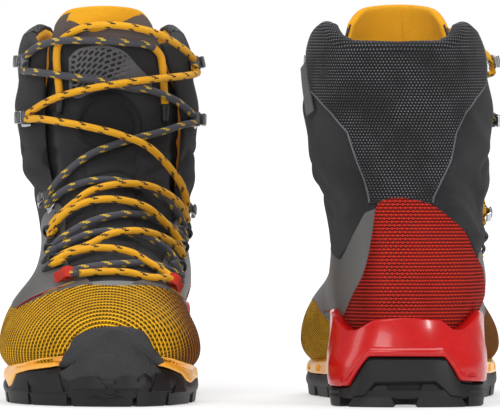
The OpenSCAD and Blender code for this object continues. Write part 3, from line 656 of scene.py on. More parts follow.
def fabric(name, tone, other, weave=0.7, depth=0.18, sheen=0.2):
    """Plain woven or brushed cloth with a fine grid of yarns and slow changes of tone."""
    look = Look(name, 0.9, Sheen_Weight=sheen * 0.35, Sheen_Roughness=0.45, Specular_IOR_Level=0.2)
    pull = math.tau / weave
    grid = look.math("SINE", look.u * pull) * look.math("SINE", look.v * pull)
    fuzz = look.noise(1600, 3)
    share = fuzz * 0.5 + look.noise(38, 3) * 0.6 + grid * 0.10
    look.color(look.mix(look.remap(share, 0.35, 0.8, 0.0, 0.7), linear(tone), linear(other)))
    look.bump(grid + fuzz * 1.5, depth, 0.6)
    return look.material


def dotted_weave(name, ground, dot, pitch=1.75):
    """Tight technical weave with a lighter yarn showing as rows of dots."""
    look = Look(name, 0.75, Sheen_Weight=0.03, Specular_IOR_Level=0.25)
    row = look.v / (pitch * 0.87)
    shift = look.math("FLOORED_MODULO", look.math("FLOOR", row), 2.0) * 0.5
    a = look.math("FRACT", look.u / pitch + shift) - 0.5
    b = look.math("FRACT", row) - 0.5
    away = look.math("SQRT", a * a + b * b)
    spot = look.remap(away, 0.27, 0.14)
    patchy = look.remap(look.noise(60, 4), 0.3, 0.7, 0.25, 1.0)
    ribbed = look.math("SINE", look.v * (math.tau / (pitch * 0.87))) * 0.3
    tone = look.mix(look.remap(look.noise(700, 2), 0.3, 0.7), linear(ground), linear(ground, 1.6))
    look.color(look.mix(spot * patchy, tone, linear(dot)))
    look.bump(look.remap(away, 0.5, 0.1) + ribbed, 0.22, 0.8)
    return look.material


def lace_sheath(name, tone, tick, braid=1.25):
    """Braided lace with groups of three short ticks that step round it."""
    look = Look(name, 0.7, Sheen_Weight=0.08, Specular_IOR_Level=0.3)
    third = math.tau * LACE_RADIUS / 3
    c = look.math("FLOORED_MODULO", look.u, third) - third / 2
    s = look.math("FLOORED_MODULO", look.v, TICK_PITCH) - TICK_START
    which = look.math("MAXIMUM", look.math("MINIMUM", look.math("ROUND", c), 1.0), -1.0)
    beside = look.math("ABSOLUTE", c - which)
    run = look.math("ABSOLUTE", s - which * 1.35)
    mark = look.remap(beside, 0.5, 0.38) * look.remap(run, 1.45, 1.2)
    twist = math.tau / braid
    strands = look.math("SINE", (look.u + look.v) * twist) * look.math("SINE", (look.u - look.v) * twist)
    shaded = look.mix(look.remap(strands, -1.0, 1.0, 0.0, 0.3), linear(tone), linear(tone, 0.62))
    shaded = look.mix(look.remap(look.noise(300, 3), 0.4, 0.8, 0.0, 0.25), shaded, linear(tone, 0.7))
    look.color(look.mix(mark, shaded, linear(tick)) if tick else shaded)
    look.bump(strands, 0.16, 0.7)
    return look.material


def moulded(name, tone, other, roughness, grain=900.0, depth=0.08, mottle=25.0, coat=0.0):
    """Moulded rubber, foam or plastic with a fine grain and slight mottling."""
    look = Look(name, roughness, Coat_Weight=coat, Coat_Roughness=0.12, Specular_IOR_Level=0.35)
    slow, fine = look.noise(mottle, 4), look.noise(grain, 3, rough=0.7)
    look.color(look.mix(look.remap(slow * 0.6 + fine * 0.4, 0.38, 0.68), linear(tone), linear(other)))
    look.rough(look.remap(slow, 0.3, 0.7, roughness * 0.88, min(roughness * 1.12, 1.0)))
    look.bump(fine, depth, 0.8)
    return look.material


def metal(name, tone, roughness, other=None):
    """Plated or painted metal with fine brushing and slight handling marks."""
    look = Look(name, roughness, Metallic=1.0)
    marks = look.noise(450, 5, rough=0.75)
    worn = linear(other) if other else linear(tone, 0.6)
    look.color(look.mix(look.remap(marks, 0.4, 0.75, 0.0, 0.6), linear(tone), worn))
    look.rough(look.remap(marks, 0.3, 0.75, roughness * 0.7, min(1.0, roughness * 1.5)))
    look.bump(look.noise(1500, 3), 0.02, 0.5)
    return look.material


LOOKS = {
    # The second colour of each knit is its painted shade colour for one flank, also used for random mottling.
    "vamp": knit("vamp_knit", (226, 170, 30), (140, 84, 24), (20, 11, 4), 34, 88),
    "counter": knit("counter_knit", (188, 46, 34), (160, 42, 34), (40, 8, 8), 14, 64),
    "softshell": fabric("softshell", (33, 33, 35), (58, 57, 59)),
    "tongue_cloth": fabric("tongue_cloth", (38, 38, 40), (60, 59, 61), weave=0.9),
    "pad_cloth": fabric("pad_cloth", (30, 30, 31), (44, 43, 44),
                        weave=0.5, depth=0.08, sheen=0.1),
    "lining_yellow": fabric("lining_yellow", (232, 168, 36), (206, 142, 26),
                            weave=1.1, depth=0.14),
    "lining_dark": fabric("lining_dark", (34, 35, 38), (60, 61, 65), weave=1.6, depth=0.3),
    "footbed": fabric("footbed_felt", (70, 73, 78), (98, 100, 104), weave=0.9, depth=0.2),
    "brown": fabric("tongue_brown", (92, 82, 78), (112, 101, 95),
                    weave=0.6, depth=0.1, sheen=0.1),
    "film": moulded("film_gray", (80, 79, 78), (92, 90, 88),
                    0.5, grain=1400, depth=0.04, mottle=14),
    "film_light": moulded("film_light", (108, 110, 112), (126, 127, 128),
                          0.5, grain=1300, depth=0.05),
    "patch_gray": moulded("patch_gray", (82, 81, 82), (98, 97, 97), 0.55, grain=1200, depth=0.05),
    "weave": dotted_weave("rear_weave", (11, 11, 12), (116, 116, 122)),
    "piping": fabric("piping", (78, 80, 84), (128, 130, 134), weave=0.8),
    "yellow_trim": fabric("yellow_trim", (214, 158, 40), (178, 124, 28), weave=0.6),
    "red_film": moulded("red_film", (170, 48, 52), (140, 38, 44), 0.5),
    "webbing": fabric("webbing_red", (206, 58, 40), (168, 40, 30), weave=0.8, depth=0.25),
    "lace_yellow": lace_sheath("lace_yellow", (238, 172, 26), (34, 30, 26)),
    "lace_plain": lace_sheath("lace_plain", (236, 166, 24), None),
    "lace_gray": lace_sheath("lace_gray", (76, 76, 84), (214, 176, 44)),
    "thread": fabric("thread_dark", (24, 24, 26), (52, 52, 55), weave=0.5),
    "aglet": moulded("aglet_black", (22, 22, 24), (36, 36, 38), 0.35),
    "orange": moulded("midsole_orange", (247, 172, 48), (252, 190, 84),
                      0.3, grain=500, depth=0.03, mottle=18, coat=0.15),
    "cradle": moulded("cradle_red", (180, 11, 14), (196, 22, 20),
                      0.26, grain=300, depth=0.015, mottle=12, coat=0.3),
    "rubber": moulded("rubber_black", (13, 13, 14), (23, 23, 25), 0.55, grain=700, depth=0.06),
    "toe_rubber": moulded("toe_rubber", (38, 38, 40), (58, 58, 60), 0.6, grain=1050, depth=0.34),
    "core": moulded("core_gray", (52, 53, 56), (66, 67, 70), 0.6),
    "hook_steel": metal("hook_steel", (206, 208, 212), 0.22),
    "hook_gray": moulded("hook_gray", (70, 71, 75), (92, 93, 97),
                         0.38, grain=500, depth=0.03, coat=0.3),
    "eyelet": metal("eyelet_black", (66, 67, 71), 0.34, (34, 34, 36)),
    "shank": metal("shank_steel", (150, 152, 156), 0.4),
    "board": moulded("lasting_board", (200, 178, 136), (178, 156, 116),
                     0.85, grain=400, depth=0.1),
    "stiffener": moulded("stiffener_shell", (184, 176, 154), (164, 154, 132), 0.7),
    "label": fabric("label_cloth", (78, 78, 80), (104, 104, 106), weave=0.7),
}


def materials(*names):
    return [LOOKS[n] for n in names]


def ribs(v):
    """Height of the knit's ribs over its grooves."""
    return 0.5 * np.abs(np.sin(np.pi * v / RIB)) ** 0.6


# ---- Upper of the foot ----

FILM_LATERAL_LOW = [[-0.82, 11.4], [-0.75, 10.2], [-0.6, 9.3], [-0.48, 8.55], [-0.38, 7.3], [-0.33, 6.3],
                    [-0.26, 5.75], [-0.14, 5.62], [-0.03, 5.66]]
FILM_LATERAL_HIGH = [[-0.9, 15.4], [-0.8, 14.9], [-0.66, 13.5], [-0.42, 12.2], [-0.22, 10.8], [-0.18, 8.6],
                     [-0.115, 7], [-0.08, 6.4], [-0.05, 6.2]]
FILM_MEDIAL_LOW = [[0.1, 5.95], [0.2, 6.3], [0.3, 6.8], [0.38, 7.1], [0.46, 7.6], [0.56, 8.4], [0.66, 9.2],
                   [0.76, 9.9], [0.82, 11.2]]
FILM_MEDIAL_HIGH = [[0.2, 6.9], [0.25, 7.8], [0.29, 8.9], [0.33, 10.6], [0.36, 11.7], [0.43, 12.5],
                    [0.52, 12.8], [0.6, 12.9], [0.66, 12.6]]


def make_vamp():
    low = [[-0.72, 3.3], [-0.6, 2.0], [-0.46, 1.2], [-0.25, 0.8], [0, 0.62], [0.25, 0.9], [0.45, 1.05],
           [0.6, 1.9], [0.72, 3.3]]
    high = [[-0.72, 10.2], [-0.6, 9.6], [-0.44, 8.4], [-0.33, 7.0], [-0.26, 6.1], [-0.1, 5.85], [0.04, 5.6],
            [0.2, 6.4], [0.34, 7.2], [0.46, 8.0], [0.6, 9.2], [0.72, 10.2]]
    q, u = panel(low, high, 150, 250, 0.004)
    shape = shell(q, u, rise=0.25, wall=0.7, roll=1.2, relief=lambda uv, p: ribs(uv[..., 1]),
                  rows=lambda uv, p, q: np.stack([uv[..., 0] * 1.5, toe_rows(p, q) * 1.15], -1))
    make("knit_vamp", shape, materials("vamp"), "foot", ["vamp"])


def make_film():
    for name, low, high in (("lateral", FILM_LATERAL_LOW, FILM_LATERAL_HIGH),
                            ("medial", FILM_MEDIAL_LOW, FILM_MEDIAL_HIGH)):
        q, u = panel(low, high, 90, 70, 0.01)
        shape = shell(q, u, rise=1.0, wall=0.45, roll=0.7)
        make(f"{name}_film", shape, materials("film"), "foot", [f"quarter_{name}"])
    q, u = panel([[-0.11, 5.35], [0, 5.4], [0.09, 5.5], [0.19, 6.0]],
                 [[-0.07, 5.9], [0.0, 5.95], [0.09, 6.1], [0.17, 6.35]], 30, 10, 0.02)
    make("throat_bridge", shell(q, u, rise=0.2, wall=0.9), materials("film_light"), "foot")
    trims = Shape()
    for path in ([[-0.2, 5.72], [-0.14, 5.78], [-0.085, 5.95]], [[0.265, 6.75], [0.32, 6.95], [0.375, 7.4]]):
        trims.tube(on_surface(path, 1.05, 24), tapered(24, 0.35, 0.9), 8, 0.5)
    make("throat_trims", trims, materials("yellow_trim"), "foot")
    strip = Shape()
    path = [[-0.31, 5.98], [-0.25, 5.84], [-0.18, 5.78], [-0.12, 5.78]]
    strip.tube(on_surface(path, 1.0, 24), tapered(24, 0.3, 1.7), 8, 0.3)
    make("film_edge_strip", strip, materials("red_film"), "foot")


def make_counter():
    places = np.array([0.57, 0.6, 0.65, 0.72, 0.8, 0.9, 1, 1.1, 1.2, 1.28, 1.36, 1.41])
    low = np.stack([places, row_at(places, 30 + 17 * ease(0.24, 0.36, np.abs(places - 1)))], -1)
    high = [[0.57, 12.3], [0.63, 13.3], [0.69, 14.2], [0.81, 15.1], [0.9, 15.55], [1, 15.7], [1.09, 15.5],
            [1.13, 14.6], [1.17, 13.6], [1.235, 12.7], [1.345, 10.9]]
    q, u = panel(low, high, 130, 260, 0.006)
    shape = shell(q, u, rise=1.1, wall=0.5, roll=1.3, upright=True,
                  relief=lambda uv, p: 0.7 * ribs(uv[..., 1]) + 0.9 * ease(98, 107, p[..., 2]),
                  rows=lambda uv, p, q: uv * [1.05, 1.32])
    make("knit_counter", shape, materials("counter"), "foot", ["heel_counter"])


# ---- Ankle, collar and its lining ----

COLLAR_TOP = [[0.25, 191], [0.35, 193], [0.5, 199], [0.6, 202.5], [0.66, 201], [0.73, 194.5], [0.8, 191],
              [1, 190]]
COLLAR_ROLL = 3.5
WRAP_FROM, WRAP_TO = 0.335, 1.757
# The medial front edge of the cuff comes further round towards the top.
WRAP_EDGE = [[150, 0.335], [168, 0.3], [188, 0.262]]
WRAP_LOW = [[0.335, 11.2], [0.41, 12.25], [0.48, 12.65], [0.54, 12.55], [0.6, 13.0], [0.69, 14.2],
            [0.8, 15.0], [0.9, 15.3], [1, 15.4], [1.1, 15.3], [1.16, 15.1], [1.24, 14.3], [1.33, 13.3],
            [1.46, 12.7], [1.59, 12.1], [1.69, 11.3], [1.757, 10.6]]
PANEL_EDGE = [[110, 0.86, 0.87], [120, 0.83, 0.86], [130, 0.80, 0.84], [145, 0.78, 0.81], [155, 0.74, 0.74],
              [163, 0.68, 0.66], [170, 0.6, 0.56], [185, 0.53, 0.5], [210, 0.5, 0.48]]


def collar_top(q):
    return table(COLLAR_TOP, np.where(q > 1, 2 - q, q))


def collar_roll(q):
    """Radius of the padded roll: small at the front edges, full over the rest."""
    edge = np.minimum(q - WRAP_EDGE[-1][1], WRAP_TO - q)
    return mix(1.2, COLLAR_ROLL, ease(0.0, 0.16, edge))


def round_cuff(z, start, end, share):
    """Places at shares of the way round the cuff, one column for each share."""
    return mix(start, end, share[:, None] if np.ndim(z) else share)


def wrap_place(z, share, trim=0.0):
    """Place round the cuff at a height, from the medial front edge by way of the back."""
    return round_cuff(z, table(WRAP_EDGE, z) + trim, WRAP_TO - trim, share)


def collar_profile(place, z_low, rows, turn, down=0):
    """Points, outward directions and cloth coordinates up the skin, over the roll and down inside.

    place gives q for columns at a height, z_low is the lower edge, turn the roll's angles.
    """
    top_q = place(200.0)
    top_z = collar_top(top_q) - collar_roll(top_q) * 0.9
    z = mix(z_low[:, None], top_z[:, None], np.linspace(0, 1, rows))
    q = place(z)
    skin = upper(row_at(q, z, 8), q)
    out = normals(skin)
    n, up = out[:, -1], unit(skin[:, -1] - skin[:, -2])
    r = collar_roll(top_q)[:, None]
    centre = skin[:, -1] - n * r
    turn = np.radians(turn)[None, :, None]
    around = n[:, None] * np.cos(turn) + up[:, None] * np.sin(turn)
    points, outs = [skin[:, :-1], centre[:, None] + r[:, None] * around], [out[:, :-1], around]
    if down:
        z = mix(top_z[:, None], BAND_LOW + 1, np.linspace(0, 1, down)[1:])
        q_in = place(z)
        inner = upper(row_at(q_in, z, 8), q_in)
        n_in = -normals(inner)
        bulge = 0.8 * np.sin(np.clip((z - 128) / 60, 0, 1) * np.pi)
        deep = 2 * r - 2.6 * (1 - ease(112, 128, z)) * np.minimum(1, r / 3) + bulge
        points.append(inner - n_in * deep[..., None])
        outs.append(-n_in)
    points, outs = np.concatenate(points, 1), np.concatenate(outs, 1)
    across, lengths = length_along(points, 0), length_along(points, 1)
    uv = np.stack([across - across[np.argmin(np.abs(top_q - 1.0))], points[..., 2]], -1)
    # Over the roll and inside, the cloth runs on by length where the skin goes by height.
    uv[:, rows:, 1] = uv[:, rows - 1:rows, 1] + lengths[:, rows:] - lengths[:, rows - 1:rows]
    return points, outs, uv


def near(points, path):
    """Distance of each point of a grid from a line of points."""
    flat = points.reshape(-1, 3)
    best = np.full(len(flat), 1e9)
    for p in path:
        best = np.minimum(best, ((flat - p) ** 2).sum(1))
    return np.sqrt(best).reshape(points.shape[:-1])


def crease(points, line, width, depth):
    """Height of a soft fold along a line of points."""
    return depth * np.exp(-(near(points, line) / width) ** 2)


# Folds of the soft ankle: path of place and row, width and height in millimetres.
FOLDS = [
    ([[-0.24, 14.7], [-0.33, 15.1], [-0.42, 15.6]], 3.5, -1.6),
    ([[-0.22, 12.7], [-0.34, 13.6], [-0.5, 14.3], [-0.62, 14.4]], 4.0, -1.8),
    ([[-0.24, 13.7], [-0.36, 14.4], [-0.5, 15.0]], 4.5, 1.3),
    ([[-0.26, 11.5], [-0.36, 12.9], [-0.45, 13.4]], 3.0, -0.9),
    ([[0.34, 14.2], [0.42, 15.6], [0.5, 16.0], [0.6, 15.8]], 4.0, -1.8),
    ([[0.36, 13.2], [0.46, 14.5], [0.58, 14.9]], 5.0, 1.5),
    ([[0.37, 12.4], [0.44, 13.6], [0.5, 14.1]], 2.6, -1.2),
    ([[0.52, 13.0], [0.6, 13.6], [0.7, 14.7], [0.78, 15.3]], 5.0, 2.6),
    ([[0.6, 14.6], [0.68, 15.6], [0.76, 16.2]], 4.5, -1.6),
    ([[0.58, 16.4], [0.66, 17.2], [0.72, 17.9]], 5.0, 0.9),
    ([[1.3, 15.0], [1.4, 15.4], [1.52, 15.3]], 5.0, -1.2),
    ([[1.26, 13.6], [1.34, 13.4], [1.42, 13.0]], 4.0, 1.0),
    ([[1.34, 16.4], [1.46, 17.4], [1.56, 17.8]], 6.0, 0.8),
]


def make_wrap():
    place = np.concatenate([[0, 0.002, 0.006], np.linspace(0.012, 0.988, 150), [0.994, 0.998, 1]])
    at = mix(WRAP_FROM, WRAP_TO, place)
    z_low = upper(table(WRAP_LOW, at), at)[:, 2]
    points, out, uv = collar_profile(lambda z: wrap_place(z, place), z_low, 130, np.linspace(0, 115, 16))
    x, y, z = np.moveaxis(points, -1, 0)
    waves = 0.5 * np.sin(z / 7.0 + x / 13.0 + 1.1) * np.sin(y / 12.0 + 0.7) + 0.35 * np.sin(z / 4.3 - y / 9.0)
    relief = ease(108, 124, z) * (1 - ease(178, 192, z)) * waves
    for path, width, depth in FOLDS:
        relief += crease(points, on_surface(path, 0, 40), width, depth)
    shape = skin_sheet(Shape(), points, out, uv, 1.25, 0.8, 1.8, relief)
    make("softshell_wrap", shape, materials("softshell"), "both",
         ["ankle_softshell", "cuff_softshell"])


def make_rear_panel():
    share = spread(110, 0.012)

    def place(z):
        return round_cuff(z, table(PANEL_EDGE, z), 2 - table(PANEL_EDGE, z, 2), share)

    points, out, uv = collar_profile(place, np.full(len(share), 106.0), 120, np.linspace(0, 112, 16))
    shape = skin_sheet(Shape(), points, out, uv, 2.0, 0.2, 0.9)
    make("rear_weave_panel", shape, materials("weave"), "both", ["rear_panel"])
    edging = Shape()
    for k in (0, -1):
        edging.tube(points[k, 2:-6] + out[k, 2:-6] * 1.7, 0.55, 8, up=(0, 1, 0.3))
    make("panel_piping", edging, materials("piping"), "both")


def make_lining():
    share = spread(120, 0.01)

    def place(z):
        return wrap_place(z, share, mix(0.21, 0.1, ease(176, 190, z)))

    z_low = collar_top(wrap_place(200.0, share)) - 8
    points, out, uv = (grid[:, 2:] for grid in collar_profile(place, z_low, 3, np.linspace(100, 180, 14), 70))
    z = points[..., 2]
    channel = -0.9 * np.exp(-((z - 172) / 1.6) ** 2) - 0.7 * np.exp(-((z - 147) / 1.6) ** 2)
    shape = skin_sheet(Shape(), points, out, uv, 0.3, 1.2, 1.4, channel)
    make("collar_padding", shape, materials("lining_yellow"), "both", ["collar_lining"])


def make_label():
    """A small blank folded tab sewn into the seam of the cuff."""
    path = [[-0.555, 19.1], [-0.6, 18.4], [-0.645, 17.7]]
    line = on_surface(path, 2.2, 14)
    n = on_surface(path, 3.2, 14) - line
    away = np.cross(n, unit(np.gradient(line, axis=0)))
    grid = np.stack([line + n * lift + away * reach
                     for reach, lift in ((-1.0, 0.3), (1.5, 0.9), (3.6, 1.6), (5.2, 2.0))], 1)
    out = normals(grid)
    shape = Shape()
    shape.sheet(grid + out * 0.5, grid - out * 0.5, flat_map(grid))
    make("blank_tab", shape, materials("label"), "cuff", sides=("left",))


# ---- Tongue ----

TONGUE_LEFT = [[5.7, -0.05], [7, -0.14], [8.5, -0.22], [10, -0.25], [12, -0.26], [13, -0.3], [17.44, -0.3],
               [18.7, -0.25], [19.96, -0.232], [22, -0.235]]
TONGUE_RIGHT = [[5.7, 0.17], [7, 0.27], [8.5, 0.33], [10, 0.36], [12, 0.38], [13, 0.4], [17.44, 0.38],
                [18.7, 0.29], [19.96, 0.25], [22, 0.25]]


def tongue_depth(q, u):
    left, right = table(TONGUE_LEFT, u), table(TONGUE_RIGHT, u)
    side = np.abs(2 * (q - left) / (right - left) - 1)
    e = ease(17.44, 19.96, u)
    return 1.1 - 1.5 * e + 4.4 * ease(0.64, 0.86, side) * (1 - e) * ease(12.4, 13.2, u)


def tongue_top(a):
    side = np.abs(2 * a - 1)
    return 213 - 2.4 * side ** 2 - 8 * side ** 12


def on_tongue(path, lift, count=60):
    q, u = smooth_path(path, np.linspace(0, 1, count)).T
    return lifted(q, u, lift, tongue_depth(q, u))


# Seams of the lower tongue: paths of place and row.
TONGUE_SEAMS = [
    [[-0.11, 13.25], [-0.08, 12.4], [-0.07, 11.65], [-0.05, 10.65], [-0.04, 9.5], [-0.02, 8.4], [0.0, 7.2]],
    [[0.13, 13.7], [0.13, 12.6], [0.13, 11.55], [0.14, 10.35], [0.14, 9.05], [0.15, 7.6]],
    [[-0.06, 11.3], [-0.02, 11.6], [0.04, 11.85], [0.08, 11.85], [0.13, 11.6]],
    [[-0.04, 9.7], [0.04, 10.05], [0.13, 9.8]],
]
# Its folds, with width and height.
TONGUE_FOLDS = [
    ([[0.13, 13.0], [0.23, 14.2], [0.4, 15.9]], 2.6, -1.2),
    ([[0.38, 14.7], [0.25, 13.3], [0.19, 12.35]], 2.2, -1.0),
    ([[-0.12, 13.2], [-0.2, 14.0], [-0.3, 14.8]], 2.6, -1.2),
    ([[-0.06, 13.5], [0.02, 13.35], [0.1, 13.6]], 2.2, -0.9),
]
PAD_CENTRE, PAD_REACH = (0.02, 15.45), (0.135, 1.95)


def make_tongue():
    a = spread(96, 0.03)[:, None]
    top_u = row_at(mix(-0.235, 0.25, a), tongue_top(a), 8)
    u = mix(5.65, top_u, spread(220, 0.012))
    q = mix(table(TONGUE_LEFT, u), table(TONGUE_RIGHT, u), a)
    points = upper(u, q, tongue_depth(q, u))
    out = normals(points)
    wall = 2.4 + 2.4 * ease(13.8, 16.3, u)
    uv = flat_map(points)
    uv[..., 0] -= uv[len(a) // 2, :, 0][None]
    relief = np.zeros(u.shape)
    for path in TONGUE_SEAMS:
        d = near(points, on_tongue(path, 0))
        relief += -0.9 * np.exp(-(d / 0.8) ** 2) + 0.35 * np.exp(-((d - 3.2) / 1.8) ** 2)
    for path, width, depth in TONGUE_FOLDS:
        relief += crease(points, on_tongue(path, 0), width, depth)
    half = (0.3 + wall) / 2 * (0.25 + 0.75 * rolled(to_border(points), 2.6))
    middle = points + out * ((0.3 - wall) / 2)[..., None]
    back = half - 0.8 * np.exp(-(uv[..., 0] / 1.2) ** 2) * ease(17, 19, u)
    lift = half + relief * rolled(to_border(points), 2.0)
    shape = Shape()
    shape.sheet(middle + out * lift[..., None], middle - out * back[..., None], uv, (0, 1))
    color_tongue(shape, a, u)
    make("tongue_pad", shape, materials("tongue_cloth", "lining_yellow", "brown"), "both",
         ["tongue_lower", "tongue_flex", "tongue_upper"])


def disc(count):
    """Square grid bent into a disc without a pinched centre or corners."""
    s, t = np.meshgrid(np.linspace(-1, 1, count), np.linspace(-1, 1, count), indexing="ij")
    return s * np.sqrt(1 - t * t / 2), t * np.sqrt(1 - s * s / 2)


def color_tongue(shape, a, u):
    """Brown near the top in front, yellow round the top edge and behind, dark at the back's sides."""
    columns, rows = u.shape
    middle = (u[:-1] + u[1:]) / 2
    tags = np.array(shape.slots)
    sides = tags[:(columns - 1) * rows * 2].reshape(columns - 1, rows * 2)
    sides[:, :rows][middle > 19.55] = 2
    sides[:, rows - 4:rows + 1] = 1
    # The cuff leaves the sides of the tongue's back open to view.
    strip = (np.abs(a[:-1] + a[1:] - 1) > 0.8) & (middle < 19.3)
    sides[:, rows:][strip[:, ::-1]] = 0
    shape.slots = tags.tolist()


def tongue_patch(name, q, u, rise, material, relief=None, roll=0.8):
    points = upper(u, q, tongue_depth(q, u))
    extra = relief(flat_map(points)) if relief else 0.0
    make(name, plain_skin(Shape(), points, rise, 0.5, roll, extra), materials(material), "cuff")


def turned_slots(uv):
    """Pattern of short slots in slanting rows that fades towards the lower medial side."""
    turn = math.radians(24)
    s = uv[..., 0] * math.cos(turn) + uv[..., 1] * math.sin(turn)
    t = -uv[..., 0] * math.sin(turn) + uv[..., 1] * math.cos(turn)
    row = np.floor(t / 2.5)
    across = np.abs(t / 2.5 - row - 0.5)
    beside = np.abs(np.mod(s / 4.4 + row * 0.5, 1) - 0.5)
    slot = (1 - ease(0.22, 0.34, across)) * (1 - ease(0.3, 0.4, beside))
    wide, tall = uv[..., 0].max(), uv[..., 1].max()
    fade = 1 - ease(0.55, 0.8, uv[..., 0] / wide + 0.35 * (1 - uv[..., 1] / tall) - 0.1)
    margin = np.minimum(np.minimum(uv[..., 0], uv[-1:, :, 0] - uv[..., 0]),
                        np.minimum(uv[..., 1], uv[:, -1:, 1] - uv[..., 1]))
    return -0.75 * slot * fade * ease(0.8, 2.0, margin)


def squares(uv):
    """Fine raised grid."""
    a, b = np.moveaxis(np.abs(np.mod(uv / 2.6, 1) - 0.5), -1, 0)
    return -0.4 * np.maximum(ease(0.36, 0.46, a), ease(0.36, 0.46, b))


def make_tongue_trim():
    q, u = panel([[-0.14, 17.2], [-0.1, 17.0], [-0.05, 17.25], [0.01, 17.5], [0.07, 17.4], [0.14, 17.3],
                  [0.19, 17.5]],
                 [[-0.14, 18.9], [-0.11, 19.25], [-0.08, 19.4], [-0.02, 19.5], [0.03, 19.45], [0.09, 19.15],
                  [0.14, 18.55], [0.2, 17.95]], 130, 90, 0.01)
    tongue_patch("slotted_patch", q, u, 0.9, "patch_gray", turned_slots)
    s, t = disc(64)
    q, u = PAD_CENTRE[0] + s * PAD_REACH[0], PAD_CENTRE[1] + t * PAD_REACH[1] * 0.98
    radius = np.hypot(s, t)
    welt = 1.1 * np.exp(-((radius - 0.88) / 0.06) ** 2) * ease(-0.9, -0.2, t)
    seam = 0.35 * np.exp(-((radius - 0.76) / 0.05) ** 2)
    tongue_patch("elastic_pad", q, u, 0.8, "pad_cloth", lambda uv: welt - seam, roll=1.2)
    q, u = panel([[-0.172, 20.62], [-0.155, 20.68], [-0.11, 20.5], [-0.06, 20.17], [-0.01, 20.2],
                  [0.08, 20.55], [0.16, 20.86], [0.19, 20.9]],
                 [[-0.165, 20.95], [-0.14, 21.15], [-0.1, 21.22], [-0.03, 21.27], [0.05, 21.27],
                  [0.13, 21.22], [0.165, 21.15], [0.194, 20.98]], 60, 24, 0.015)
    tongue_patch("tongue_tab", q, u, 0.55, "lining_yellow", roll=0.6)
    q, u = panel([[-0.195, 19.75], [-0.16, 19.6], [-0.12, 19.62], [-0.07, 19.8]],
                 [[-0.178, 20.5], [-0.155, 20.66], [-0.1, 20.42], [-0.055, 20.12]], 44, 40, 0.02)
    tongue_patch("grid_patch", q, u, 0.6, "brown", squares)


# ---- Lacing ----

# Lace holders from the webbing loops up to the top hooks: place, row and half the
# lace's spread in rows.
LATERAL = [[-0.08, 6.1, 0.13], [-0.13, 7.1, 0.16], [-0.19, 8.05, 0.18], [-0.23, 9.3, 0.22],
           [-0.245, 11.2, 0.3], [-0.31, 16.5, 0.28], [-0.33, 18.9, 0.25]]
MEDIAL = [[0.24, 6.9, 0.13], [0.3, 8.3, 0.16], [0.33, 9.6, 0.18], [0.36, 10.9, 0.24],
          [0.37, 12.3, 0.3], [0.38, 16.7, 0.28], [0.42, 18.95, 0.25]]
HOLD, UNDER, OVER = 4.8, 2.6, 7.1
TAIL_OVER = 6.4
RUN = [0.06, 0.22, 0.41, 0.59, 0.78, 0.94]
LEFT_TAIL = [[0.33, 19.6, 5], [0.22, 20.1, 7], [0.08, 20.4, 7], [-0.05, 20.4, 5], [-0.13, 20.1, 3],
             [-0.18, 19.6, 2.2], [-0.185, 18.9, 2], [-0.18, 18.2, 1.6], [-0.175, 17.6, 1.4],
             [-0.17, 17.1, 1.4]]
RIGHT_TAIL = [[-0.26, 19.5, 5], [-0.17, 19.7, 6.4], [-0.04, 19.7, 5], [0.1, 19.6, 4], [0.19, 19.5, 3],
              [0.235, 19.1, 2.2], [0.24, 18.5, 2], [0.24, 17.9, 1.6], [0.24, 17.3, 1.4], [0.24, 16.8, 1.4]]


def holder(k, side):
    return (LATERAL if side < 0 else MEDIAL)[k]


def off(u, q, height):
    """Point at a height over the surface, by the same measure as the lace solids."""
    return upper(u, q, -height)


def apex(k, side):
    q, u, _ = holder(k, side)
    return off(u, q + 0.02 * side, HOLD)


def turn(k, side):
    q, u, half = holder(k, side)
    q_in = q - 0.012 * side
    return [off(u - half, q_in, HOLD), apex(k, side), off(u + half, q_in, HOLD)]


def crossing(k, m, side, lift, shoulder=None):
    a, b = holder(k, side), holder(m, -side)
    start, end = np.array([a[0] - 0.06 * side, a[1] + a[2]]), np.array([b[0] - 0.06 * side, b[1] - b[2]])
    shoulder = mix(HOLD, lift, 0.8) if shoulder is None else shoulder
    heights = [HOLD, shoulder, lift, lift, shoulder, HOLD]
    places = [mix(start, end, s) for s in RUN]
    return [off(c[1], c[0], h) for c, h in zip(places, heights)]


def lower_half(side, lift):
    path = []
    for k in range(4):
        path += turn(k, side) + crossing(k, k + 1, side, lift)
        side = -side
    q, u, half = holder(4, side)
    return path + [off(u - half, q - 0.02 * side, HOLD), apex(4, side)]


def long_run(side, lift):
    a, b = holder(4, side), holder(5, -side)
    return [off(mix(a[1], b[1], f), mix(a[0], b[0], f), mix(HOLD, lift, math.sin(math.pi * f) ** 0.5))
            for f in (0.1, 0.3, 0.45, 0.6, 0.75, 0.9)]


def upper_half(side, lift, tail):
    q, u, half = holder(5, side)
    return ([off(u - half * 0.5, q + 0.012 * side, HOLD), apex(5, side)]
            + crossing(5, 6, side, lift, TAIL_OVER) + turn(6, -side)
            + [off(c[1], c[0], c[2]) for c in tail])


def lace_curve(points, per=9):
    points = np.array(points)
    dense = along(points, np.linspace(0, len(points) - 1, len(points) * per))
    return at_lengths(dense, np.arange(0, length_along(dense, 0)[-1], 1.1))


def lace_tube(path, slots):
    weight = np.array([0.25, 0.5, 0.25])
    for _ in range(2):
        path[1:-1] = sum(w * path[k:len(path) - 2 + k] for k, w in enumerate(weight))
    tag = np.repeat(slots, 14).tolist() + [int(slots[0]), int(slots[-1])]
    shape = Shape()
    shape.tube(path, LACE_RADIUS, 14, 0.94, slot=tag, up=(0, 0.35, 0.94))
    return shape


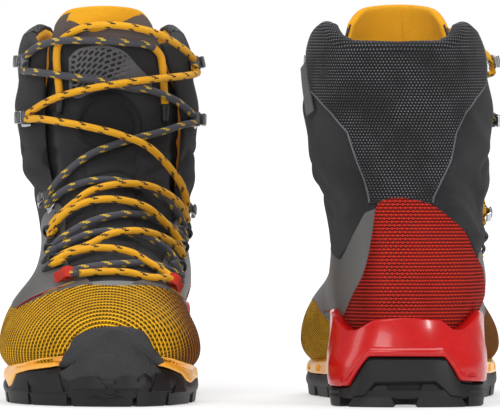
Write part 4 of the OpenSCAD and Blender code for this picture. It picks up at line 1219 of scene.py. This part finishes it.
def make_laces():
    # Each half goes on over the ankle and up to its tail on the side where it leaves hook 4.
    for name, side, lift, tail in (("yellow", 1, OVER, LEFT_TAIL), ("gray", -1, UNDER, RIGHT_TAIL)):
        path = lace_curve(lower_half(side, lift) + long_run(side, lift) + upper_half(-side, lift, tail))
        tags = np.zeros(len(path) - 1, int)
        tags[-31:] = 1
        make(f"{name}_lace", lace_tube(path, tags), materials(f"lace_{name}", "lace_plain"),
             "both", ["lace_lower", "lace_crossing", "lace_upper"])
    bottom = [off(mix(6.1, 6.5, (q + 0.08) / 0.3), q, UNDER) for q in (0.16, 0.08, 0)]
    path = lace_curve([turn(0, 1)[0]] + bottom + [turn(0, -1)[0]])
    shape = lace_tube(path, np.zeros(len(path) - 1, int))
    make("bottom_lace", shape, materials("lace_yellow"), "foot")
    tips = Shape()
    for tail in (LEFT_TAIL, RIGHT_TAIL):
        q, u, height = tail[-1]
        start = off(u + 0.1, q, height)
        go = unit(off(u - 1, q, height) - start)
        reach = np.array([0, 0.3, 1.0, 5, 9.2, 9.8, 10.1])
        tips.tube(start + go * reach[:, None], np.array([2.1, 2.35, 2.4, 2.05, 1.9, 1.5, 0.8]), 16)
    make("lace_ends", tips, materials("aglet"), "cuff", ["lace_aglets"])


class Local:
    """A holder's own directions: out of the surface, up along it, and sideways to the lace's far side."""

    def __init__(self, k, side):
        q, u, _ = holder(k, side)
        q = q + 0.02 * side
        d = 0.05
        self.up = unit(upper(u + d, q) - upper(u - d, q))
        self.out = unit(np.cross(upper(u, q + 0.02) - upper(u, q - 0.02), self.up))
        self.side = np.cross(self.up, self.out) * side
        self.centre = apex(k, side)
        self.surface = float((upper(u, q) - self.centre) @ self.out)

    def at(self, side, up, out):
        side, up, out = (v[..., None] for v in np.broadcast_arrays(side, up, out))
        return self.centre + side * self.side + up * self.up + out * self.out


def ribbon(shape, local, path, widths, thick):
    """Bent strip: path of [side, out] points, width along up, rounded edges."""
    path = np.array(path, float)
    share = np.linspace(0, len(path) - 1, len(path) * 6)
    dense = along(path, share)
    width = np.interp(share, np.arange(len(path)), widths)
    go = unit(np.gradient(dense, axis=0))
    lift = np.stack([-go[:, 1], go[:, 0]], -1)
    section = np.array([[-1, -0.35], [-0.93, -1], [0.93, -1], [1, -0.35], [1, 0.35], [0.93, 1], [-0.93, 1],
                        [-1, 0.35]])
    rings = []
    for c, n, w in zip(dense, lift, width):
        p = c + n * (section[:, 1:] * thick / 2)
        rings.append(local.at(p[:, 0], section[:, 0] * w / 2, p[:, 1]))
    shape.facing_loft(rings)


def block(shape, local, low, high, bevel):
    """Gray rounded block between two corners given as side, up, out."""
    (s0, t0, n0), (s1, t1, n1) = low, high

    def ring(inset, n):
        s, t = (s0 + inset, s1 - inset), (t0 + inset, t1 - inset)
        a = [[s[0] + bevel, t[0]], [s[1] - bevel, t[0]], [s[1], t[0] + bevel], [s[1], t[1] - bevel],
             [s[1] - bevel, t[1]], [s[0] + bevel, t[1]], [s[0], t[1] - bevel], [s[0], t[0] + bevel]]
        return local.at(*np.array(a).T, n)

    b = bevel * 0.7
    shape.facing_loft([ring(b, n0), ring(0, n0 + b), ring(0, n1 - b), ring(b, n1)], 1)


def dome(shape, local, side, up, out, radius):
    """Head of a rivet, with a dimple."""
    turned = np.linspace(0, math.tau, 20, endpoint=False)
    steps = ((1.0, -0.4), (1.0, 0.25), (0.9, 0.6), (0.62, 0.85), (0.55, 0.7), (0.3, 0.68))
    shape.facing_loft([local.at(side + radius * r * np.cos(turned), up + radius * r * np.sin(turned), out + h)
                       for r, h in steps])


def make_hook(shape, k, side, size=1.0):
    """Open lace hook: plate on the boot, shank beside the throat and beak over the lace."""
    here = Local(k, side)
    floor = here.surface + 0.9
    reach = LACE_RADIUS + 0.9
    ribbon(shape, here, [[8.5 * size, floor + 0.3], [4, floor], [0, floor], [-reach - 0.2, floor + 0.5],
                         [-reach - 0.9, floor + 2.6], [-reach - 0.7, 0.8], [-reach + 0.9, reach + 0.2],
                         [0.4, reach + 0.9], [reach, reach + 0.3], [reach + 1.2, reach - 1.6]],
           np.array([7.5, 9, 9, 8, 6.6, 6.4, 6.6, 7, 6.6, 5.6]) * size, 1.0)
    dome(shape, here, 6.2 * size, 0, floor + 0.6, 2.1 * size)
    block(shape, here, (-reach - 2.0, -3.9 * size, floor + 1.2), (-reach + 0.4, 3.9 * size, reach - 0.2), 0.8)
    block(shape, here, (-reach - 1.2, -3.2 * size, reach + 0.9), (0.8, 3.2 * size, reach + 2.1), 0.6)


def make_hooks():
    for name, holders, size, body, node in (("upper_hooks", (5, 6), 1.0, "cuff", "cuff_hooks"),
                                            ("lock_hooks", (4,), 0.8, "foot", "locking_hooks")):
        shape = Shape()
        for k in holders:
            for side in (-1, 1):
                make_hook(shape, k, side, size)
        make(name, shape, materials("hook_steel", "hook_gray"), body, [node])


def make_eyelets():
    shape = Shape()
    angle = np.linspace(0, math.tau, 28, endpoint=False)
    r = LACE_RADIUS + 1.15
    for k in (1, 2, 3):
        for side in (-1, 1):
            here = Local(k, side)
            floor = here.surface + 1.1
            ring = here.at(r * np.cos(angle) * 1.1 + 0.3, 0.4 * np.sin(angle * 2), r * np.sin(angle))
            shape.tube(ring, 1.0, 10, closed=True, up=here.up + 0.01)
            ribbon(shape, here, [[-1.0, floor + 0.5], [1.5, floor + 0.2], [4.2, floor], [7.2, floor],
                                 [9.6, floor + 0.1]], [4.2, 5.6, 7.2, 6.6, 3.6], 1.1)
            ribbon(shape, here, [[1.6, -r + 0.2], [3.2, -r - 0.1], [4.6, floor + 0.4], [6.2, floor + 0.2]],
                   [3.4, 3.8, 4.6, 4.8], 1.3)
            dome(shape, here, 6.3, 0, floor + 0.55, 2.0)
    make("eyelets", shape, materials("eyelet"), "foot", ["eyelet_loops"])


def make_webbing():
    shape = Shape()
    tilt = math.radians(48)
    r = LACE_RADIUS + 0.75
    for side in (-1, 1):
        here = Local(0, side)
        here.up, here.out = (here.up * math.cos(tilt) + here.out * math.sin(tilt),
                             here.out * math.cos(tilt) - here.up * math.sin(tilt))
        floor = here.surface + 1.6
        loop = [[7.4, floor - 0.4], [5.6, floor + 0.8], [4.0, floor + 2.2], [2.2, r - 0.8], [0.2, r],
                [-r + 0.6, r - 1.0], [-r, -0.6], [-0.4, -r], [3.0, floor + 0.6], [5.4, floor - 0.8]]
        ribbon(shape, here, loop, [6.2] * len(loop), 1.1)
    make("red_loops", shape, materials("webbing"), "foot", ["webbing_loops"])


def make_stitching():
    """Rows of dark thread along the film's throat edges."""
    shape = Shape()
    for path in ([[-0.1, 6.3], [-0.15, 7.1], [-0.205, 8.6], [-0.25, 10.7]],
                 [[0.225, 6.8], [0.27, 7.8], [0.315, 8.9], [0.35, 10.6], [0.375, 11.6]]):
        stitches(shape, on_surface(path, 1.15, 120), 2.0, 0.9, 0.24)
    make("throat_stitching", shape, materials("thread"), "foot")


# ---- Inside of the foot ----


def make_footbed():
    q, u = np.broadcast_arrays(np.linspace(0.815, 1.185, 30)[:, None], np.linspace(2.3, 11.1, 90)[None])
    points = upper(u, q, 10.6)
    uv = flat_map(points)
    cup = 2.2 * np.abs((q - 1) / 0.185) ** 3
    waves = 0.35 * np.abs(np.sin(uv[..., 1] * np.pi / 9)) * ease(9, 8, u)
    shape = skin_sheet(Shape(), points[::-1], -normals(points)[::-1], uv, 1.4, 1.4, 1.4,
                       (cup * 0.5 + waves)[::-1])
    make("foot_bed", shape, materials("footbed"), "foot", ["footbed"])


def make_inside():
    q = np.linspace(-1, 1, 90, endpoint=False)[:, None]
    u = mix(0.5, row_at(q, BAND_LOW + 0.5), np.linspace(0, 1, 60) ** 1.2)
    outer = upper(u, q, 3.6)
    shape = Shape()
    shape.sheet(outer, upper(u, q, 6.6), flat_map(outer), ring=True)
    make("foot_padding", shape, materials("lining_dark"), "foot", ["foot_lining"])
    make_footbed()
    for name, material in (("shank", "shank"), ("lasting_board", "board"), ("heel_stiffener", "stiffener")):
        for side in ("right", "left"):
            mesh = frame["nodes"][f"{side}_{name}"].data
            mesh.materials.clear()
            mesh.materials.append(LOOKS[material])


# ---- Sole ----

LUG, PLATE = 4.5, 8.5
LIP_HEIGHT = [[0, 25], [2, 25], [3, 23.5], [4, 20.5], [5, 18.5], [6, 18], [7, 19], [8, 21.5], [9, 24],
              [10.2, 26], [11, 25], [12.5, 24]]


def rim(shape, places, insets, heights, thick, relief=0.0):
    """Wall along the sole's edge. insets and heights give its profile, bottom to top, at each place."""
    places, insets, heights = places[::-1], insets[::-1], heights[::-1]
    flat, back = (sole_edge(places[:, None] + 0 * insets, insets + d) for d in (0, thick))
    points = np.concatenate([flat, heights[..., None]], -1)
    deep = np.concatenate([back, heights[..., None]], -1)
    lip = rolled(to_border(points), 1.0)
    lift = 0.5 * (lip - 1) + (relief[::-1] if np.ndim(relief) else relief) * lip
    shape.sheet(points + unit(points - deep) * lift[..., None], deep, flat_map(points))


def prism(shape, low, high, z0, z1, bevel=0.7):
    """Bevelled block between a lower outline at z0 and an upper one at z1."""
    area = np.sum(low[:, 0] * np.roll(low[:, 1], -1) - low[:, 1] * np.roll(low[:, 0], -1))
    if area < 0:
        low, high = low[::-1], high[::-1]
    pulled = low + unit(low.mean(0) - low) * bevel
    shape.loft([np.c_[outline, np.full(len(low), z)]
                for outline, z in ((pulled, z0), (low, z0 + bevel * 0.8), (high, z1))])


def edge_outline(a, b, out, depth, count=9):
    """Outline of a lug on the sole's edge from place a to b, reaching inwards by depth, softly pointed."""
    s = np.linspace(a, b, count)
    outer = sole_edge(s, np.full(count, float(out)))
    reach = depth - 2.2 * np.abs(np.linspace(-1, 1, count))
    return np.concatenate([outer, sole_edge(s, reach)[::-1]])


def edge_lug(shape, a, b, depth, top=PLATE):
    """Lug whose outer face slants out from the tread."""
    prism(shape, edge_outline(a + 0.05, b - 0.05, 1.3, depth), edge_outline(a, b, 0.3, depth + 1.2), 0, top)


def edge_lugs(shape, start, end, count, depth):
    step = (end - start) / count
    for k in range(count):
        edge_lug(shape, start + k * step, start + (k + 0.8) * step, depth)


def chevron(shape, x, y, w, l):
    p = np.array([[0, -l / 2], [w / 4, -l / 3], [w / 2, -l / 6], [w / 2, l / 2], [w / 4, l / 3], [0, l / 6],
                  [-w / 4, l / 3], [-w / 2, l / 2], [-w / 2, -l / 6], [-w / 4, -l / 3]])
    prism(shape, p * 0.94 + [x, y], p * 1.04 + [x, y], 0, LUG + 0.5)


def plate(shape, s0, s1):
    s = np.linspace(s0, s1, 90)
    shape.loft([np.c_[sole_edge(s, np.full(90, inset))[::-1], np.full(90, z)]
                for inset, z in ((2.0, LUG - 0.2), (1.2, LUG + 0.6), (1.2, PLATE + 0.4))])


# Top edge of the black wall of the forefoot by place along the sole's edge: it runs low
# under the orange foam and rises in facets over the toe.
FORE_WALL_TOP = [[-7, 12.5], [-6.4, 15], [-6.0, 12.5], [-5.1, 12.5], [-4.8, 15.5], [-4.4, 12.5],
                 [-3.45, 12.8], [-3.1, 16.4], [-2.3, 19.6], [-1.6, 22], [-1.3, 17.0], [-1.0, 20.0],
                 [-0.7, 17.4], [0.65, 17.2], [1.02, 20.5], [1.35, 17.4], [1.6, 16.0], [1.8, 21.5],
                 [2.1, 20.6], [2.9, 18.6], [3.5, 16.4], [3.75, 10.6], [4.0, 8.8], [4.35, 12.2], [5.1, 12.5],
                 [5.4, 15.5], [5.8, 12.5], [6.5, 12.5], [7, 15]]
# Bottom edge of the orange foam by place: it ends in a downward point on each side.
FOAM_LOW = [[-7, 12.3], [-4.4, 12.3], [-3.75, 10.0], [-3.45, 12.4], [-3.1, 16], [-2.3, 19.2], [-1.5, 22],
            [1.7, 21.5], [2.1, 20.2], [2.9, 18.2], [3.5, 15.8], [3.75, 9.8], [4.0, 7.8], [4.35, 11.8],
            [7, 12.3]]


# Edges of the black wall of the heel: a low wall, and high ground at the waist and in the arch.
HEEL_WALL_TOP = [[8.7, 29.5], [9.3, 28], [10.1, 10.8], [11.3, 10.2], [11.62, 10.8], [12.15, 26.6],
                 [13.86, 26.6], [14.3, 13.0], [14.7, 12.2], [15.9, 12.0], [16.7, 27], [17.3, 29.5]]
HEEL_WALL_LOW = [[8.7, 4.8], [12.1, 4.8], [12.35, 12.2], [13.6, 12.8], [13.95, 4.8], [17.3, 4.8]]


def make_forefoot_tread():
    shape = Shape()
    plate(shape, -7, 7)
    s = np.linspace(-7, 7, 420)
    share = np.array([0, 0.2, 0.45, 0.7, 0.9, 1.0])
    heights = mix(LUG + 0.4, table(FORE_WALL_TOP, s)[:, None], share)
    front = ease(2.9, 1.9, np.abs(s))[:, None]
    insets = 0.2 + np.array([0.8, 0.0, -0.5, -0.4, 0.2, 0.9]) * (1 + 0.6 * front) + 1.1 * share * front
    facet = 0.35 * np.sign(np.sin(s * 4.2))[:, None] * (share * (1 - share) * 4) * front
    rim(shape, s, insets, heights, 3.0, facet)
    for a, b, h in ((-0.6, 1.4, 10.5), (1.5, 2.85, 9.5), (2.9, 4.2, 7.5), (-2.1, -0.68, 9.5),
                    (-3.9, -2.2, 8.0)):
        edge_lug(shape, a, b, 18, h)
    edge_lugs(shape, 4.3, 7, 3, 17)
    edge_lugs(shape, -6.85, -4.0, 3, 17)
    # Facets above the front lugs, each leaning back to an edge.
    for a, b, c, d, low, high in ((1.55, 2.7, 1.75, 2.3, 7.5, 16.5), (2.75, 3.6, 2.9, 3.3, 6.5, 14),
                                  (-0.9, 0.1, -0.55, -0.2, 9.5, 16), (0.25, 1.3, 0.5, 1.0, 9.5, 15.5),
                                  (-2.2, -1.15, -1.9, -1.5, 7.5, 17), (-3.2, -2.35, -3.0, -2.7, 6.5, 14)):
        prism(shape, edge_outline(a, b, -1.5, 7, 5), edge_outline(c, d, -0.2, 6, 5), low, high, 0.4)
    # Worn-in relief on the toe lug: two shallow waves.
    for k in range(2):
        line = sole_edge(np.linspace(-0.35, 0.85, 24), np.full(24, 0.9))
        wave = 4.2 + 3.6 * k + 0.9 * np.sin(np.linspace(0, 3 * math.pi, 24) + k)
        shape.tube(np.c_[line, wave], tapered(24, 0.3, 0.9), 8)
    for y in (-112, -92, -72, -52, -32):
        chevron(shape, 3, y, 24, 15)
    make("forefoot_tread", shape, materials("rubber"), "foot", ["outsole_forefoot"], sharp=28)


def make_heel_tread():
    """Heel plate and lugs, with the black block that fills the arch between the cradle's legs."""
    shape = Shape()
    plate(shape, 8.8, 17.2)
    s = np.linspace(8.75, 17.25, 300)
    heights = mix(table(HEEL_WALL_LOW, s)[:, None], table(HEEL_WALL_TOP, s)[:, None],
                  np.array([0, 0.08, 0.3, 0.6, 0.88, 1.0]))
    rim(shape, s, 0.6 + np.array([0.6, -0.3, -0.2, 0.3, 0.8, 2.2]) + 0 * heights, heights, 4.5)
    rim(shape, np.linspace(11.9, 14.1, 60), np.full((60, 4), 4.6), np.tile([4.6, 8, 12, 15.0], (60, 1)), 3.0)
    edge_lugs(shape, 8.9, 11.6, 2, 18)
    edge_lugs(shape, 14.5, 17.1, 2, 18)
    # Two big bevelled heel lugs lean against the block, with a notch between them.
    for a, b, c, d, h in ((11.65, 12.75, 12.0, 12.55, 12.6), (13.2, 14.4, 13.35, 14.05, 13.0)):
        prism(shape, edge_outline(a, b, -0.3, 15), edge_outline(c, d, 3.6, 9), 0.0, h, 0.8)
    for y in (88, 108):
        chevron(shape, 4, y, 22, 15)
    make("heel_tread", shape, materials("rubber"), "foot", ["outsole_heel"], sharp=28)


def lip_row(s):
    """Row of the upper nearest to a place on the sole's edge, by its length."""
    y = sole_edge(s)[..., 1]
    rows = np.linspace(0.5, 12.4, 200)
    return np.interp(y, upper(rows, 1.0)[:, 1], rows)


def oblong(points, centre, long, tall):
    """Share inside a rounded oblong, for a moulded recess. centre is x, y, z."""
    d = points - np.asarray(centre, float)
    flat = np.hypot(d[..., 0], d[..., 1])
    away = np.hypot(np.maximum(flat - (long - tall) / 2, 0), d[..., 2])
    return 1 - ease(tall / 2 - 0.4, tall / 2 + 0.2, away)


def side_point(u, z, side, lift):
    """Point low on one side of the upper, at row u and height z."""
    low, _ = halved(lambda q: upper(u, side * q)[..., 2] > z, np.full(u.shape, 0.42), np.full(u.shape, 0.98))
    return upper(u, side * low, -lift)


def foam_wall(side):
    """Grid of the orange wall of one side, from its lower edge up to its lap on the upper."""
    s = -side * np.linspace(1.3, 7.1, 240)
    row = lip_row(s)
    top, low = table(LIP_HEIGHT, row) + 1.2, table(FOAM_LOW, s)
    tuck = 4.0 * ease(1.95, 1.5, np.abs(s))
    keys = [np.c_[sole_edge(s, inset + tuck), mix(low, top, share)]
            for inset, share in ((1.4, 0), (0.3, 0.12), (0.3, 0.5), (1.0, 0.78))]
    keys += [np.c_[side_point(row, top + rise, side, lift)[:, :2], top + rise]
             for rise, lift in ((0, 1.6), (0.8, 0.4))]
    dense = np.stack([along(k, np.linspace(0, 5, 40)) for k in np.stack(keys, 1)])
    # Columns run anticlockwise seen from above, so that the outside faces out.
    return dense[::-1] if side < 0 else dense


def make_foam():
    shape = Shape()
    for side in (-1, 1):
        wall = foam_wall(side)
        pocket = np.zeros(wall.shape[:2])
        for place in (4.7, 5.5, 6.3):
            spot = (*sole_edge(-side * place, -1.0), 16.0)
            pocket += 0.5 * oblong(wall, spot, 5.2, 1.2) - 1.3 * oblong(wall, spot, 8.5, 3.4)
        plain_skin(shape, wall, 0.2, 3.0, 1.2, pocket)
    # The foam's floor under the foot, out of sight between the walls.
    rings = []
    for u in np.linspace(2.8, 7.9, 16):
        _, y, z = upper(u, 1.0)
        left, right = edge_x(y)
        low, middle = PLATE + 0.4, (left + right) / 2
        rings.append([[left + 3.2, y, low], [right - 3.2, y, low], [right - 3.2, y, z - 1.0],
                      [middle + 14, y, z - 1.6], [middle - 14, y, z - 1.6], [left + 3.2, y, z - 1.0]])
    shape.loft(np.array(rings)[:, ::-1])
    make("orange_foam", shape, materials("orange"), "foot", ["midsole_forefoot"], sharp=35)


def edge_x(y):
    """Lateral and medial x of the sole's edge at a length y."""
    lateral, medial = sole_edge(np.linspace(0, 13, 260)), sole_edge(np.linspace(26, 13, 260))
    return [float(np.interp(y, side[:, 1], side[:, 0])) for side in (lateral, medial)]


def make_core():
    """Gray foam waist between the forefoot and the cradle, running on under the heel."""
    shape = Shape()
    rings = []
    for u in np.linspace(7.95, 12.0, 24):
        _, y, z = upper(u, 1.0)
        waist = 3.0 * ease(8.9, 9.4, u) + 2.5 * ease(9.6, 10.4, u)
        lip = float(table(LIP_HEIGHT, u))
        left, right = edge_x(y)
        left, right = left + 1.0 + waist, right - 1.0 - waist
        swell = 0.4 * (u < 9.2)
        rings.append([[left + 1.2, y, PLATE + 0.3], [right - 1.2, y, PLATE + 0.3], [right, y, PLATE + 1.5],
                      [right + swell, y, (PLATE + lip) / 2], [right - 0.4, y, lip - 1.2],
                      [right - 2.4, y, lip], [right - 9, y, z - 0.5], [(left + right) / 2, y, z - 0.9],
                      [left + 9, y, z - 0.5],
                      [left + 2.4, y, lip], [left + 0.4, y, lip - 1.2], [left - swell, y, (PLATE + lip) / 2],
                      [left, y, PLATE + 1.5]])
    shape.loft(np.array(rings)[:, ::-1])
    make("waist_foam", shape, materials("core"), "foot", ["midsole_core"], sharp=35)


HEEL_CENTRE = (4.5, 85.0)
# Cradle edges by direction round the heel in degrees, 0 at the back and negative lateral.
CRADLE_TOP = [[-104, 37], [-88, 42.5], [-72, 48.6], [-62, 50], [-54, 49.5], [-32, 39.6], [-26.5, 39.6],
              [-16, 45.4], [0, 46.4], [18, 45.4], [25, 39.8], [30.5, 39.8], [50, 49.3], [56, 49.3],
              [66, 45], [86, 38], [104, 34]]
CRADLE_LOW = [[-104, 30], [-90, 28], [-61, 10.8], [-34, 10.4], [-27.5, 10.8], [-17.8, 27], [18, 27],
              [25, 13.8], [31, 13.2], [62, 12.4], [90, 28], [104, 30]]


def polar(points, angle):
    """Distance from the heel's centre to a line of points, in each direction."""
    x, y = points[..., 0] - HEEL_CENTRE[0], points[..., 1] - HEEL_CENTRE[1]
    way = np.degrees(np.arctan2(x, y))
    order = np.argsort(way)
    return np.interp(angle, way[order], np.hypot(x, y)[order])


def soft_zigzag(points, v, width=1.6):
    return sum(table(points, v + k * width) for k in (-1, -0.5, 0, 0.5, 1)) / 5


def cradle_wall(angle, top, low):
    """Grid of the cradle's wall, from its lower edge to a closing shelf on the boot."""
    z = mix(low[:, None], top[:, None], np.linspace(0, 1, 60))
    levels = np.linspace(24, 52, 29)
    q = np.linspace(0.35, 1.65, 160)
    boot = np.stack([polar(upper(row_at(q, v, 5), q), angle) for v in levels], 1)
    sole = polar(sole_edge(np.linspace(7.6, 18.4, 500), np.full(500, 0.2)), angle)[:, None]
    crest = np.array([np.interp(47.0, levels, line) for line in boot])[:, None] + 1.9
    base = sole + 0.9 * np.sin(np.clip((z - 10) / 22, 0, 1) * np.pi) - 0.05 * np.maximum(14 - z, 0)
    # The wall leans in to the boot at the crest, less so at the sides.
    crest = mix(np.minimum(base[:, -1:], crest), base[:, -1:] - 0.8, ease(14, 72, np.abs(angle))[:, None])
    radius = mix(base, crest, ease(20, 48, z))
    shelf = np.linspace(0, 1, 7)[None, 1:]
    inside = np.array([np.interp(t + 1.4, levels, line) for t, line in zip(top, boot)])[:, None] - 2.5
    radius = np.concatenate([radius, mix(radius[:, -1:], inside, shelf)], 1)
    z = np.concatenate([z, z[:, -1:] + 1.4 * np.sqrt(shelf)], 1)
    way = np.radians(angle)[:, None]
    return np.stack([HEEL_CENTRE[0] + radius * np.sin(way), HEEL_CENTRE[1] + radius * np.cos(way), z], -1)


def make_cradle():
    """Glossy red heel cradle with notched crest, two legs and the arch between them."""
    angle = np.linspace(104, -104, 340)
    low = soft_zigzag(CRADLE_LOW, angle, 0.8)
    points = cradle_wall(angle, soft_zigzag(CRADLE_TOP, angle), low)
    z, off_back = points[..., 2], np.abs(angle)[:, None]
    ridge = 0.8 * np.exp(-((z - low[:, None] - 2.2) / 1.5) ** 2) * (off_back < 32) * (z < 40)
    slot = -1.0 * oblong(points, (*points[np.argmin(np.abs(angle - 31)), 0, :2], 16.6), 7.5, 1.9)
    fold = 0.7 * np.exp(-((off_back - 46 - (45 - z) * 0.5) / 5.0) ** 2) * ease(20, 30, z)
    shape = plain_skin(Shape(), points, 0.2, 2.0, 1.6, ridge + slot + fold)
    make("red_cradle", shape, materials("cradle"), "foot", ["heel_cradle"], sharp=50)


CAP_TOP = [[-0.74, 3.0], [-0.7, 2.35], [-0.6, 1.85], [-0.48, 1.55], [-0.37, 1.5], [-0.25, 1.35],
           [-0.12, 1.12], [0.02, 1.06], [0.16, 1.24], [0.26, 1.42], [0.36, 1.42], [0.48, 1.46], [0.6, 1.92],
           [0.67, 2.6], [0.7, 3.3]]
CAP_LOW = [[-0.84, 2.6], [-0.72, 1.6], [-0.5, 0.7], [-0.25, 0.4], [0, 0.35], [0.25, 0.4], [0.5, 0.66],
           [0.7, 1.6], [0.82, 2.7]]


def make_toe_cap():
    """Grainy rubber toe cap, lapped by the zigzag of the tread."""
    count = 150
    share = np.linspace(0, 1, count)
    top, low = smooth_path(CAP_TOP, share), smooth_path(CAP_LOW, share)
    edge = sole_edge(mix(2.6, -2.9, share), np.full(count, 1.6))
    foot = upper(low[:, 1], low[:, 0], -1.9)
    rows = [np.c_[edge, np.full(count, PLATE + 0.6)],
            np.c_[mix(edge, foot[:, :2], 0.25), np.full(count, 16.0)]]
    lifts = (-1.9, -1.7, -1.4, -1.1)
    for k, lift in enumerate(lifts):
        c = mix(low, top, (k + 0.35) / (len(lifts) - 0.65))
        rows.append(upper(c[:, 1], c[:, 0], lift))
    dense = np.stack([along(p, np.linspace(0, len(rows) - 1, 60)) for p in np.stack(rows, 1)])
    shape = plain_skin(Shape(), dense, 0.5, 0.9, 1.6)
    make("toe_guard", shape, materials("toe_rubber"), "foot", ["toe_cap"], sharp=60)


make_camera()
make_studio()
make_vamp()
make_film()
make_counter()
make_wrap()
make_rear_panel()
make_lining()
make_label()
make_tongue()
make_tongue_trim()
make_laces()
make_hooks()
make_eyelets()
make_webbing()
make_stitching()
make_inside()
make_forefoot_tread()
make_heel_tread()
make_foam()
make_core()
make_cradle()
make_toe_cap()
